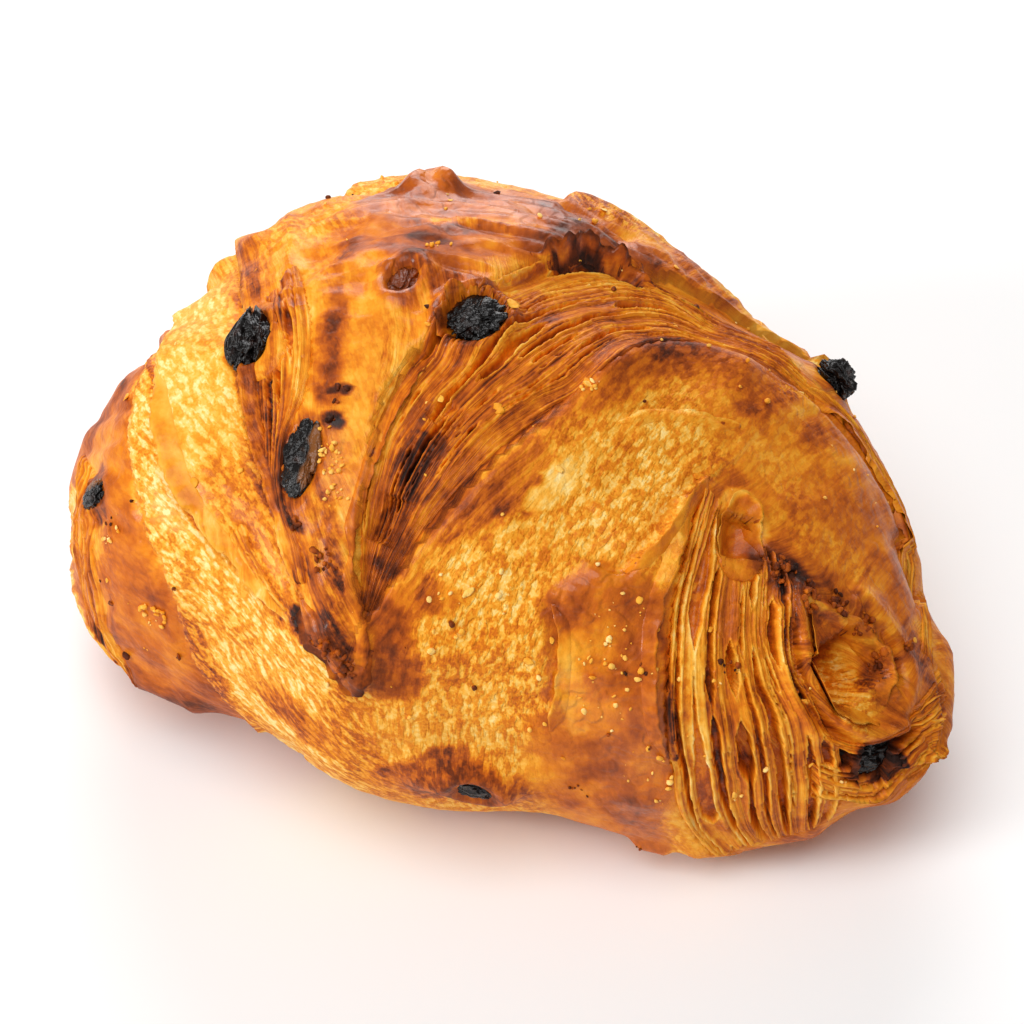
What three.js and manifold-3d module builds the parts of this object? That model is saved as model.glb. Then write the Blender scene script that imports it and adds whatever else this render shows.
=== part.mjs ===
// Raisin butter bun: a plump roll of laminated dough with raisins, in millimetres and degrees.
// X runs along the roll with the cut end at +X, Y runs across it, Z is up, and it rests on z = 0.

import * as THREE from 'three';
import { mergeVertices } from 'three/addons/utils/BufferGeometryUtils.js';
import Module from 'manifold-3d';

const wasm = await Module();
wasm.setup();

// Form of the roll. The seven stations are spaced evenly from the far end to the cut end.
// Widths and heights are those that the roll would have before its blunt ends close it.
const ROLL_LENGTH = 140;
const END_BLUNTNESS = 2.4;
const HALF_WIDTHS = [62, 56, 49.5, 49.5, 43, 38.5, 28.5];
const HALF_HEIGHTS = [46, 41.5, 38.5, 38, 34.5, 31.5, 22.5];
const SIDE_OFFSETS = [-2, -2, 0.5, 0, 3, 3.5, -0.5];
const CENTRE_HEIGHTS = [20, 32, 36, 36, 32.5, 25.5, 21];
const TOP_ROUNDNESS = 0.95;
const UNDERSIDE_ROUNDNESS = 0.72;
const SECTIONS = 26;
const SIDES = 50;

// Edges of the rolled layers, as places [mm along the roll, degrees around it].
// 0 degrees is the front, 90 the top and 180 the back.
const DOME_EDGE = [[-63, 100], [-52.5, 61], [-43.5, 35], [-33, 13], [-29, -3], [-20, -26], [-14, -46]];
const LIP_EDGE = [[-61, 112], [-57, 80], [-45, 54], [-37.5, 38], [-30.5, 29], [-21, 21], [-8, 13]];
const TONGUE_LEFT = [[-60, 132], [-55, 100], [-37.5, 69], [-27, 48], [-19.5, 38], [-9, 23], [1, 7]];
const TONGUE_RIGHT = [[8, 146], [-1, 122], [-6, 92], [-9, 66], [-5, 46], [-1, 32], [5, 10]];
const FRONT_BAND_END = [[-50, 106], [-44, 74], [-34, 44], [-22, 22], [-12, 6], [-4, -14], [2, -40]];
const FAN_TOP = [[1, 25], [-7.5, 57], [-8, 72], [-5, 93], [-2, 112], [8, 128], [28, 146]];
const FAN_BOTTOM = [[2, 23], [5, 42], [8, 57], [12, 76], [13.5, 93], [19, 109], [40, 128]];
const FRONT_SWELL_END = [[9, 6], [17, 28], [22, 44], [26, 60], [29, 76], [33, 92], [47, 112]];
const FLAP_START = [[18, 98], [16, 84], [13, 66], [11, 54]];
const FLAP_LIP = [[36, 92], [32, 80], [31, 64], [27, 51]];
const CUT_END_START = [[35, 88], [33, 70], [35, 52], [37, 38], [41, 18], [45, -6], [48, -36]];
const CUT_END_STOP = [[52, 104], [50, 84], [51, 62], [54, 44], [58, 24], [61, 0], [61, -30]];
const RIM_INNER = [[34, 119], [42, 129], [51, 133], [59, 124], [65, 104]];
const RIM_OUTER = [[36, 131], [44, 142], [54, 148], [62, 142], [67, 128]];
const FAR_STRIP_START = [[-60, 42], [-57, 16], [-53, -8], [-48, -30]];
const FAR_STRIP_STOP = [[-52, 34], [-47, 12], [-43, -8], [-39, -30]];
const BACK_LEFT_START = [[-50, 128], [-44, 152], [-38, 180], [-34, 212]];
const BACK_LEFT_STOP = [[-36, 124], [-28, 152], [-20, 180], [-14, 212]];
const BACK_MIDDLE_START = [[-20, 126], [-14, 152], [-8, 180], [-4, 214]];
const BACK_MIDDLE_STOP = [[0, 130], [8, 154], [14, 180], [18, 214]];
const BACK_RIGHT_START = [[24, 150], [26, 172], [30, 196], [34, 220]];
const BACK_RIGHT_STOP = [[44, 156], [46, 174], [48, 196], [50, 216]];

// Layers: how far the first and the second edge stand proud, and the ridges between them.
const LAYER_DEPTH = 3;
const LAYER_END_SINK = 1.2;
const LAYER_FADE = 0.2;
const LAYER_ROWS = 12;
const LAYER_OVERRUN = 1.06;
const STEPS_PER_RIDGE = 3;
const LAYERS = [
  { first: DOME_EDGE, second: FRONT_BAND_END, rises: [2.2, -0.8], columns: 4 },
  { first: LIP_EDGE, second: TONGUE_LEFT, rises: [2.6, -0.2], columns: 4 },
  { first: TONGUE_LEFT, second: TONGUE_RIGHT, rises: [3.0, 3.2], columns: 4, blunt: true },
  { first: FAN_TOP, second: FAN_BOTTOM, rises: [0, 0.2], ridges: 6, ridgeHeight: 1.5 },
  { first: FAN_BOTTOM, second: FRONT_SWELL_END, rises: [2, -0.6], columns: 2 },
  { first: FLAP_START, second: FLAP_LIP, rises: [-0.6, 1.8], columns: 2 },
  { first: CUT_END_START, second: CUT_END_STOP, rises: [0.2, 0.2], ridges: 5, ridgeHeight: 1.6 },
  { first: RIM_INNER, second: RIM_OUTER, rises: [1.2, -0.4], columns: 2 },
  { first: FAR_STRIP_START, second: FAR_STRIP_STOP, rises: [0, 0.2], ridges: 3, ridgeHeight: 1.2 },
  { first: BACK_LEFT_START, second: BACK_LEFT_STOP, rises: [1.8, -0.6], columns: 2 },
  { first: BACK_MIDDLE_START, second: BACK_MIDDLE_STOP, rises: [1.8, -0.6], columns: 2 },
  { first: BACK_RIGHT_START, second: BACK_RIGHT_STOP, rises: [1.8, -0.6], columns: 2 },
];

// The coiled end: an oval hollow with a rolled rim.
const COIL = { x: 57.5, angle: 70, length: 17, width: 13, rim: 2.6, depth: 3.5, height: -0.4 };

// The small hole in which the end raisin sits.
const END_HOLE = { x: 66, angle: 23, length: 8.5, width: 7.5, depth: 5 };

// Raisins: length, width and thickness; the turn of the long side away from straight round the roll;
// and the height of the centre over the roll's plain form.
const RAISIN_GAP = 0.35;
const RAISIN_FOLDS = 5;
const RAISIN_FOLD_DEPTH = 0.1;
const RAISIN_SEGMENTS = 10;
const RAISIN_RINGS = 7;
const RAISINS = [
  { x: -33.6, angle: 66, size: [11, 7, 6.5], turn: 152, height: 1.6 },
  { x: -5, angle: 84, size: [10, 8, 6.5], turn: 17, height: 1.6 },
  { x: -15.3, angle: 46, size: [11, 6, 6], turn: 163, height: 2 },
  { x: 32, angle: 147, size: [6.5, 6, 6], turn: 30, height: 1.8 },
  { x: -50, angle: 26, size: [7.5, 4, 4], turn: 47, height: 0.2 },
  { x: 66, angle: 23, size: [7, 6, 5], turn: 70, height: -3 },
  { x: -17.2, angle: 84, size: [7, 5, 4.5], turn: -11, height: 2 },
  { x: 17, angle: -14, size: [8, 6, 5.5], turn: 119, height: -0.2 },
];

const CRUST_COLOUR = 0xc98a3c;
const RAISIN_COLOUR = 0x2a1b16;

/** Smooth value at u (-1 to 1) through evenly spaced station values. */
function alongRoll(values, u) {
  const spans = values.length - 1;
  const place = THREE.MathUtils.clamp(((u + 1) / 2) * spans, 0, spans - 1e-9);
  const i = Math.floor(place);
  const f = place - i;
  const before = i > 0 ? values[i - 1] : 2 * values[0] - values[1];
  const after = i + 2 <= spans ? values[i + 2] : 2 * values[spans] - values[spans - 1];
  const [from, to] = [values[i], values[i + 1]];
  const bend = 2 * before - 5 * from + 4 * to - after + f * (3 * (from - to) + after - before);
  return from + 0.5 * f * (to - before + f * bend);
}

/** Raises a cosine or sine to a power but keeps its sign, for a squarer or rounder section. */
function signedPower(value, power) {
  return Math.sign(value) * Math.abs(value) ** power;
}

/** Point of the roll's plain form at x and at an angle around it. */
function formPoint(x, angle) {
  const u = THREE.MathUtils.clamp((2 * x) / ROLL_LENGTH, -1, 1);
  const closing = Math.sqrt(Math.max(0, 1 - Math.abs(u) ** END_BLUNTNESS));
  const radians = THREE.MathUtils.degToRad(angle);
  const power = Math.sin(radians) >= 0 ? TOP_ROUNDNESS : UNDERSIDE_ROUNDNESS;
  const across = signedPower(Math.cos(radians), power);
  const upward = signedPower(Math.sin(radians), power);
  const y = alongRoll(SIDE_OFFSETS, u) - alongRoll(HALF_WIDTHS, u) * closing * across;
  const z = alongRoll(CENTRE_HEIGHTS, u) + alongRoll(HALF_HEIGHTS, u) * closing * upward;
  return new THREE.Vector3(x, y, Math.max(0, z));
}

/** Point, outward normal and in-surface directions of the form at a place. */
function formFrame(x, angle) {
  const step = 0.5;
  const point = formPoint(x, angle);
  const inner = Math.sign(x) * -step || step;
  const along = formPoint(x + inner, angle).sub(point).multiplyScalar(Math.sign(inner)).normalize();
  const around = formPoint(x, angle + step).sub(formPoint(x, angle - step)).normalize();
  const normal = new THREE.Vector3().crossVectors(around, along).negate().normalize();
  return { point, normal, along, around };
}

/** Point that stands off the form by a height, and never below the surface that the bun rests on. */
function raisedPoint(x, angle, height) {
  const { point, normal } = formFrame(x, angle);
  const raised = point.addScaledVector(normal, height);
  raised.z = Math.max(0, raised.z);
  return raised;
}

/** Closed solid from points and triangles, turned so that its faces point outwards. */
function solidFrom(points, triangles) {
  const geometry = new THREE.BufferGeometry().setFromPoints(points);
  geometry.setIndex(triangles);
  return solidOf(geometry);
}

/** Closed solid of a three.js geometry. */
function solidOf(geometry) {
  const plain = geometry.clone();
  plain.deleteAttribute('normal');
  plain.deleteAttribute('uv');
  const merged = mergeVertices(plain, 1e-4);
  const triVerts = new Uint32Array(merged.index.array);
  const vertProperties = merged.attributes.position.array;
  const made = new wasm.Manifold(new wasm.Mesh({ numProp: 3, vertProperties, triVerts }));
  if (made.volume() > 0) return made;
  const turned = triVerts.slice().reverse();
  return new wasm.Manifold(new wasm.Mesh({ numProp: 3, vertProperties, triVerts: turned }));
}

/** Two triangles for each cell of a grid of points, with both directions open or wrapped. */
function gridTriangles(rows, columns, first, wrapped) {
  const triangles = [];
  const width = wrapped ? columns : columns + 1;
  for (let row = 0; row < rows; row++) {
    for (let column = 0; column < columns; column++) {
      const a = first + row * width + column;
      const b = first + row * width + ((column + 1) % width);
      triangles.push(a, b, a + width, b, b + width, a + width);
    }
  }
  return triangles;
}

/** The plain roll: rings of points from end to end, closed by a point at each end. */
function plainRoll() {
  const points = [];
  for (let ring = 1; ring <= SECTIONS; ring++) {
    const x = (ROLL_LENGTH / 2) * Math.sin(Math.PI * (ring / (SECTIONS + 1) - 0.5));
    for (let side = 0; side < SIDES; side++) points.push(formPoint(x, (360 * side) / SIDES));
  }
  const triangles = gridTriangles(SECTIONS - 1, SIDES, 0, true);
  const farTip = points.push(formPoint(-ROLL_LENGTH / 2, 0)) - 1;
  const cutTip = points.push(formPoint(ROLL_LENGTH / 2, 0)) - 1;
  const lastRing = (SECTIONS - 1) * SIDES;
  for (let side = 0; side < SIDES; side++) {
    const next = (side + 1) % SIDES;
    triangles.push(farTip, next, side);
    triangles.push(cutTip, lastRing + side, lastRing + next);
  }
  return solidFrom(points, triangles);
}

/** Smooth curve of places along an edge. */
function edgeCurve(places) {
  return new THREE.SplineCurve(places.map(([x, angle]) => new THREE.Vector2(x, angle)));
}

/** Height of a layer over the form, across it (0 to 1) and along it (0 to 1). */
function layerHeight({ rises, ridges = 0, ridgeHeight = 0, blunt = false }, across, along) {
  const ridge = ridgeHeight * Math.abs(Math.cos(Math.PI * ridges * across));
  const height = THREE.MathUtils.lerp(rises[0], rises[1], across) + ridge;
  const fadeOut = blunt ? 1 : THREE.MathUtils.smoothstep(1 - along, 0, LAYER_FADE);
  const shown = THREE.MathUtils.smoothstep(along, 0, LAYER_FADE) * fadeOut;
  return THREE.MathUtils.lerp(-LAYER_END_SINK, height, shown);
}

/** A folded layer that lies on the roll between two edges, sunk into it from below. */
function foldedLayer(layer) {
  const columns = layer.columns ?? layer.ridges * STEPS_PER_RIDGE;
  const first = edgeCurve(layer.first);
  const second = edgeCurve(layer.second);
  const top = [];
  const bottom = [];
  for (let row = 0; row <= LAYER_ROWS; row++) {
    const along = row / LAYER_ROWS;
    const from = first.getPoint(along);
    const to = second.getPoint(along);
    for (let column = 0; column <= columns; column++) {
      const across = column / columns;
      const place = from.clone().lerp(to, across * LAYER_OVERRUN);
      top.push(raisedPoint(place.x, place.y, layerHeight(layer, across, along)));
      bottom.push(raisedPoint(place.x, place.y, -LAYER_DEPTH));
    }
  }
  const triangles = gridTriangles(LAYER_ROWS, columns, 0, false);
  const under = gridTriangles(LAYER_ROWS, columns, top.length, false).reverse();
  const border = borderOf(LAYER_ROWS, columns);
  const walls = border.flatMap((a, i) => {
    const b = border[(i + 1) % border.length];
    return [b, a, a + top.length, b, a + top.length, b + top.length];
  });
  return solidFrom([...top, ...bottom], [...triangles, ...under, ...walls]);
}

/** Indices of a grid's outer points, in order round it. */
function borderOf(rows, columns) {
  const width = columns + 1;
  const border = [];
  for (let column = 0; column < columns; column++) border.push(column);
  for (let row = 0; row < rows; row++) border.push(row * width + columns);
  for (let column = columns; column > 0; column--) border.push(rows * width + column);
  for (let row = rows; row > 0; row--) border.push(row * width);
  return border;
}

/** Matrix that stands a shape on the roll: its x goes round the roll, turned, and its z goes outwards. */
function standOn({ x, angle, turn = 0, height = 0 }) {
  const { point, normal, along, around } = formFrame(x, angle);
  const basis = new THREE.Matrix4().makeBasis(around, along.negate(), normal);
  const turned = new THREE.Matrix4().makeRotationZ(THREE.MathUtils.degToRad(-turn));
  return basis.multiply(turned).setPosition(point.addScaledVector(normal, height));
}

/** Oval solid of three full sizes, standing on the roll at a place. */
function ovalAt(place, sizes, segments, rings) {
  const geometry = new THREE.SphereGeometry(0.5, segments, rings);
  geometry.scale(...sizes);
  return solidOf(geometry.applyMatrix4(standOn(place)));
}

/** Wrinkled raisin, grown all round by a margin. */
function raisinSolid(raisin, margin) {
  const geometry = new THREE.SphereGeometry(1, RAISIN_SEGMENTS, RAISIN_RINGS);
  const position = geometry.attributes.position;
  const point = new THREE.Vector3();
  for (let i = 0; i < position.count; i++) {
    point.fromBufferAttribute(position, i);
    const fold = Math.cos(RAISIN_FOLDS * Math.atan2(point.z, point.x)) * (1 - point.y ** 2);
    point.multiplyScalar(1 + RAISIN_FOLD_DEPTH * fold);
    position.setXYZ(i, point.x, point.y, point.z);
  }
  const [length, width, thickness] = raisin.size.map((size) => size / 2 + margin);
  geometry.scale(length, width, thickness);
  return solidOf(geometry.applyMatrix4(standOn(raisin)));
}

/** The coiled end's rim, a ring that lies on the roll. */
function coilRim() {
  const ring = new THREE.TorusGeometry(0.5, COIL.rim / 2 / COIL.width, 6, 18);
  ring.scale(COIL.length, COIL.width, COIL.width);
  return solidOf(ring.applyMatrix4(standOn(COIL)));
}

/** Named mesh of a solid. */
function namedMesh(name, solid, colour, roughness) {
  const { vertProperties, triVerts } = solid.getMesh();
  const geometry = new THREE.BufferGeometry();
  geometry.setAttribute('position', new THREE.BufferAttribute(new Float32Array(vertProperties), 3));
  geometry.setIndex(new THREE.BufferAttribute(new Uint32Array(triVerts), 1));
  geometry.computeVertexNormals();
  const material = new THREE.MeshStandardMaterial({ color: colour, roughness, metalness: 0 });
  const mesh = new THREE.Mesh(geometry, material);
  mesh.name = name;
  return mesh;
}

/** The bun: the roll with its layers, less the coil's hollow, the end hole and the raisins' pockets. */
function bunSolid() {
  let bun = plainRoll();
  for (const layer of LAYERS) bun = bun.add(foldedLayer(layer));
  bun = bun.add(coilRim());
  bun = bun.subtract(ovalAt(COIL, [COIL.length - COIL.rim, COIL.width - COIL.rim, 2 * COIL.depth], 16, 10));
  bun = bun.subtract(ovalAt(END_HOLE, [END_HOLE.length, END_HOLE.width, 2 * END_HOLE.depth], 12, 8));
  for (const raisin of RAISINS) bun = bun.subtract(raisinSolid(raisin, RAISIN_GAP));
  return bun;
}

const bun = new THREE.Group();
bun.add(namedMesh('bun', bunSolid(), CRUST_COLOUR, 0.5));
RAISINS.forEach((raisin, i) => {
  bun.add(namedMesh(`raisin_${i + 1}`, raisinSolid(raisin, 0), RAISIN_COLOUR, 0.4));
});

export default bun;
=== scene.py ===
"""Raisin butter bun: baked crust, flaky layer edges, raisins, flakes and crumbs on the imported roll.

The dough is described on the roll itself. A place is (mm along the roll, degrees around it), with 0
degrees at the front, 90 at the top and 180 at the back. Marks that were read off the photograph are
given as its pixels and are cast onto the roll through the same camera that looks at the bun.
"""

import logging
import math
from dataclasses import dataclass
from enum import Enum
from functools import cached_property, lru_cache

import bmesh
import bpy
import numpy as np
from mathutils import Matrix, Vector
from mathutils.bvhtree import BVHTree
from mathutils.kdtree import KDTree


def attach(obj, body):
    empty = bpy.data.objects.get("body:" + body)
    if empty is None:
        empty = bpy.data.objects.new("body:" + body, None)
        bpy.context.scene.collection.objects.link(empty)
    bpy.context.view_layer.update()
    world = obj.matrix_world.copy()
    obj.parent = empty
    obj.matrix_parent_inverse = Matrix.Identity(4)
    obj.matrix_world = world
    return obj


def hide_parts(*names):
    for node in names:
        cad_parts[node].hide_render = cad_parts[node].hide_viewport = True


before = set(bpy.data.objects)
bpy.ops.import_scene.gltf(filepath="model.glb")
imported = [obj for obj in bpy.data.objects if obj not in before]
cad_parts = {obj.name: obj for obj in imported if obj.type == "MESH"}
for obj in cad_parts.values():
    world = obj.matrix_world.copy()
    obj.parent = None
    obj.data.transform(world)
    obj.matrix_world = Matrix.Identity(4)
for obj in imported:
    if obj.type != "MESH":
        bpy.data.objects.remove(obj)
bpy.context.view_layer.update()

log = logging.getLogger("bun")

MM = 0.001
PHOTO_SIZE = 1024
SENSOR_MM = 36.0
Pairs = tuple[tuple[float, float], ...]


def smooth(value: np.ndarray, low: float, high: float) -> np.ndarray:
    """Smooth step from 0 at low to 1 at high; low may be the larger one."""
    share = np.clip((value - low) / (high - low), 0.0, 1.0)
    return share * share * (3.0 - 2.0 * share)


def unit(vectors: np.ndarray) -> np.ndarray:
    """Rows scaled to length 1."""
    return vectors / (np.linalg.norm(vectors, axis=-1, keepdims=True) + 1e-12)


class Noise:
    """Smooth lattice noise that comes out the same on every run."""

    TABLE = 8191
    PRIMES = (73856093, 19349663, 83492791)

    def __init__(self, seed: int) -> None:
        """Fills the lattice table.

        Args:
            seed: Picks the pattern.
        """
        self.table = np.random.default_rng(seed).uniform(-1.0, 1.0, self.TABLE)

    def at(self, points: np.ndarray, size: float, octaves: int = 1) -> np.ndarray:
        """Noise at points.

        Args:
            points: Array (n, 3) in mm.
            size: Size of the largest lumps in mm.
            octaves: Number of layers, each half the size and half the strength of the last.

        Returns:
            Array (n,), about -1 to 1.
        """
        total = np.zeros(len(points))
        strength = 1.0
        for octave in range(octaves):
            total += strength * self._layer(points / size + 17.0 * octave)
            size *= 0.5
            strength *= 0.5
        return total

    def _layer(self, points: np.ndarray) -> np.ndarray:
        """One layer of noise on the unit lattice."""
        cell = np.floor(points).astype(np.int64)
        share = points - cell
        share = share * share * (3.0 - 2.0 * share)
        total = np.zeros(len(points))
        for corner in np.ndindex(2, 2, 2):
            first, second, third = ((cell + np.array(corner)) * np.array(self.PRIMES)).T
            key = first ^ second ^ third
            weight = np.prod(np.where(np.array(corner) == 1, share, 1.0 - share), axis=1)
            total += weight * self.table[key % self.TABLE]
        return total


NOISE = Noise(7)


def drawn_out(points: np.ndarray, heading: float, long_mm: float, short_mm: float) -> np.ndarray:
    """Coordinates in which noise of size 1 is drawn out along a heading.

    Args:
        points: Array (n, 3) in mm.
        heading: Direction of the long way in degrees from the roll's length.
        long_mm: Length of a lump.
        short_mm: Its width and height.

    Returns:
        Array (n, 3).
    """
    turn = math.radians(heading)
    ahead = points[:, 0] * math.cos(turn) + points[:, 1] * math.sin(turn)
    aside = points[:, 1] * math.cos(turn) - points[:, 0] * math.sin(turn)
    return np.stack([ahead / long_mm, aside / short_mm, points[:, 2] / short_mm], axis=1)


@dataclass(frozen=True)
class RollForm:
    """The roll's plain form, with the CAD part's own sizes in mm."""

    half_length: float = 70.0
    bluntness: float = 2.4
    half_widths: tuple[float, ...] = (62, 56, 49.5, 49.5, 43, 38.5, 28.5)
    half_heights: tuple[float, ...] = (46, 41.5, 38.5, 38, 34.5, 31.5, 22.5)
    side_offsets: tuple[float, ...] = (-2, -2, 0.5, 0, 3, 3.5, -0.5)
    centre_heights: tuple[float, ...] = (20, 32, 36, 36, 32.5, 25.5, 21)
    top_roundness: float = 0.95
    underside_roundness: float = 0.72

    def _along(self, stations: tuple[float, ...], share: np.ndarray) -> np.ndarray:
        """Smooth value at a share of the half length (-1 to 1) through evenly spaced stations."""
        value = np.asarray(stations, float)
        value = np.concatenate([[2 * value[0] - value[1]], value, [2 * value[-1] - value[-2]]])
        spans = len(stations) - 1
        spot = np.clip((share + 1.0) / 2.0 * spans, 0.0, spans - 1e-9)
        i = np.floor(spot).astype(int)
        f = spot - i
        before, start, end, after = value[i], value[i + 1], value[i + 2], value[i + 3]
        bend = 2 * before - 5 * start + 4 * end - after + f * (3 * (start - end) + after - before)
        return start + 0.5 * f * (end - before + f * bend)

    def _section(self, x: np.ndarray) -> tuple[np.ndarray, ...]:
        """Half width, half height, side offset and centre height at x."""
        share = np.clip(x / self.half_length, -1.0, 1.0)
        closing = np.sqrt(np.maximum(0.0, 1.0 - np.abs(share) ** self.bluntness))
        width = self._along(self.half_widths, share) * closing
        height = self._along(self.half_heights, share) * closing
        side = self._along(self.side_offsets, share)
        return width, height, side, self._along(self.centre_heights, share)

    def points(self, places: np.ndarray) -> np.ndarray:
        """Points of the form.

        Args:
            places: Array (n, 2) of mm along the roll and degrees around it.

        Returns:
            Array (n, 3) in mm.
        """
        width, height, side, centre = self._section(places[:, 0])
        turn = np.radians(places[:, 1])
        power = np.where(np.sin(turn) >= 0, self.top_roundness, self.underside_roundness)
        across = np.sign(np.cos(turn)) * np.abs(np.cos(turn)) ** power
        upward = np.sign(np.sin(turn)) * np.abs(np.sin(turn)) ** power
        x = np.clip(places[:, 0], -self.half_length, self.half_length)
        z = np.maximum(0.0, centre + height * upward)
        return np.stack([x, side - width * across, z], axis=1)

    def normals(self, places: np.ndarray) -> np.ndarray:
        """Outward unit normals at places."""
        step = 0.25
        inner = np.where(places[:, 0] > 0, -step, step)
        ahead = np.stack([places[:, 0] + inner, places[:, 1]], axis=1)
        along = (self.points(ahead) - self.points(places)) * np.sign(inner)[:, None]
        turned = np.array([0.0, step])
        around = self.points(places + turned) - self.points(places - turned)
        lengthwise = np.sign(places[:, :1]) * np.array([1.0, 0.0, 0.0])
        at_end = np.abs(places[:, :1]) > self.half_length - 1e-6
        return np.where(at_end, lengthwise, unit(-np.cross(around, along)))

    def places(self, points: np.ndarray) -> np.ndarray:
        """Places of points that lie on the form."""
        width, height, side, centre = self._section(points[:, 0])
        across = (side - points[:, 1]) / np.maximum(width, 1e-6)
        upward = (points[:, 2] - centre) / np.maximum(height, 1e-6)
        power = np.where(upward >= 0, self.top_roundness, self.underside_roundness)
        cosine = np.sign(across) * np.abs(across) ** (1.0 / power)
        sine = np.sign(upward) * np.abs(upward) ** (1.0 / power)
        return np.stack([points[:, 0], np.degrees(np.arctan2(sine, cosine))], axis=1)

    def directions(self, places: np.ndarray) -> tuple[np.ndarray, np.ndarray]:
        """How the surface point moves for each mm along the roll and for each degree around it."""
        step = 0.25
        inner = np.where(places[:, 0] > 0, -step, step)
        ahead = np.stack([places[:, 0] + inner, places[:, 1]], axis=1)
        along = (self.points(ahead) - self.points(places)) / inner[:, None]
        turned = np.array([0.0, step])
        around = (self.points(places + turned) - self.points(places - turned)) / (2 * step)
        return along, around

    def stretch(self, places: np.ndarray) -> tuple[np.ndarray, np.ndarray]:
        """Surface mm for each mm along the roll and for each degree around it."""
        along, around = (np.linalg.norm(moves, axis=1) for moves in self.directions(places))
        return np.maximum(along, 0.2), np.maximum(around, 0.02)

    def shifted(self, places: np.ndarray, toward: np.ndarray, mm: np.ndarray) -> np.ndarray:
        """Places moved over the surface by some mm towards unit vectors that lie in it."""
        moved = places.copy()
        for axis, moves in enumerate(self.directions(places)):
            share = np.sum(toward * moves, axis=1) / np.maximum(np.sum(moves * moves, axis=1), 1e-4)
            moved[:, axis] += mm * share
        moved[:, 0] = np.clip(moved[:, 0], -self.half_length, self.half_length)
        return moved


ROLL = RollForm()


@dataclass(frozen=True)
class PhotoView:
    """The photograph's camera: where it stands and how large it shows the bun."""

    azimuth: float = 32.0
    elevation: float = 45.0
    distance: float = 550.0
    pixels_per_mm: float = 6.6
    target_height: float = 38.0
    shift_right: float = -2.0
    shift_up: float = -3.0

    def axes(self) -> tuple[np.ndarray, np.ndarray, np.ndarray]:
        """Right, up and backward directions of the picture."""
        a, e = math.radians(self.azimuth), math.radians(self.elevation)
        right = np.array([math.cos(a), math.sin(a), 0.0])
        up = np.array([-math.sin(a) * math.sin(e), math.cos(a) * math.sin(e), math.cos(e)])
        return right, up, np.cross(right, up)

    def location(self) -> np.ndarray:
        """Camera position in mm."""
        right, up, back = self.axes()
        target = np.array([0.0, 0.0, self.target_height])
        return target + self.shift_right * right + self.shift_up * up + self.distance * back

    def lens_mm(self) -> float:
        """Focal length for the sensor's width."""
        return self.pixels_per_mm * self.distance * SENSOR_MM / PHOTO_SIZE

    def ray(self, pixel: tuple[float, float]) -> np.ndarray:
        """Direction from the camera through a pixel."""
        right, up, back = self.axes()
        reach = self.pixels_per_mm * self.distance
        half = PHOTO_SIZE / 2
        ray = right * (pixel[0] - half) / reach - up * (pixel[1] - half) / reach - back
        return ray / np.linalg.norm(ray)


VIEW = PhotoView()


class Caster:
    """Finds the places on the roll that the photograph's pixels show."""

    RINGS = 150
    SIDES = 220
    REACHES_MM = range(480, 640, 2)

    def __init__(self) -> None:
        """Builds the plain roll to cast on."""
        mesh = roll_mesh(self.SIDES, self.RINGS)
        try:
            self.tree = BVHTree.FromBMesh(mesh)
        finally:
            mesh.free()

    def place(self, pixel: tuple[float, float]) -> tuple[float, float]:
        """Place on the roll at a pixel; off the outline, the nearest place to the ray.

        Args:
            pixel: Column and row in the 1024 by 1024 photograph.

        Returns:
            The place in mm and degrees.
        """
        origin, ray = Vector(VIEW.location()), Vector(VIEW.ray(pixel))
        hit = self.tree.ray_cast(origin, ray)[0]
        if hit is None:
            nearest = min(
                (self.tree.find_nearest(origin + ray * reach) for reach in self.REACHES_MM),
                key=lambda found: found[3],
            )
            hit = nearest[0]
        return tuple(ROLL.places(np.array([hit], float))[0])

    def before(self, points: np.ndarray) -> np.ndarray:
        """Places on the roll that the photograph shows in front of points inside it."""
        origin = Vector(VIEW.location())
        hits = [self.tree.ray_cast(origin, Vector(point) - origin)[0] or Vector(point) for point in points]
        return ROLL.places(np.array(hits, float))

    def places(self, pixels: Pairs) -> np.ndarray:
        """Places of several pixels, with no jump in the angle between one and the next."""
        found = np.array([self.place(pixel) for pixel in pixels])
        found[:, 1] = np.degrees(np.unwrap(np.radians(found[:, 1])))
        return found


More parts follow.
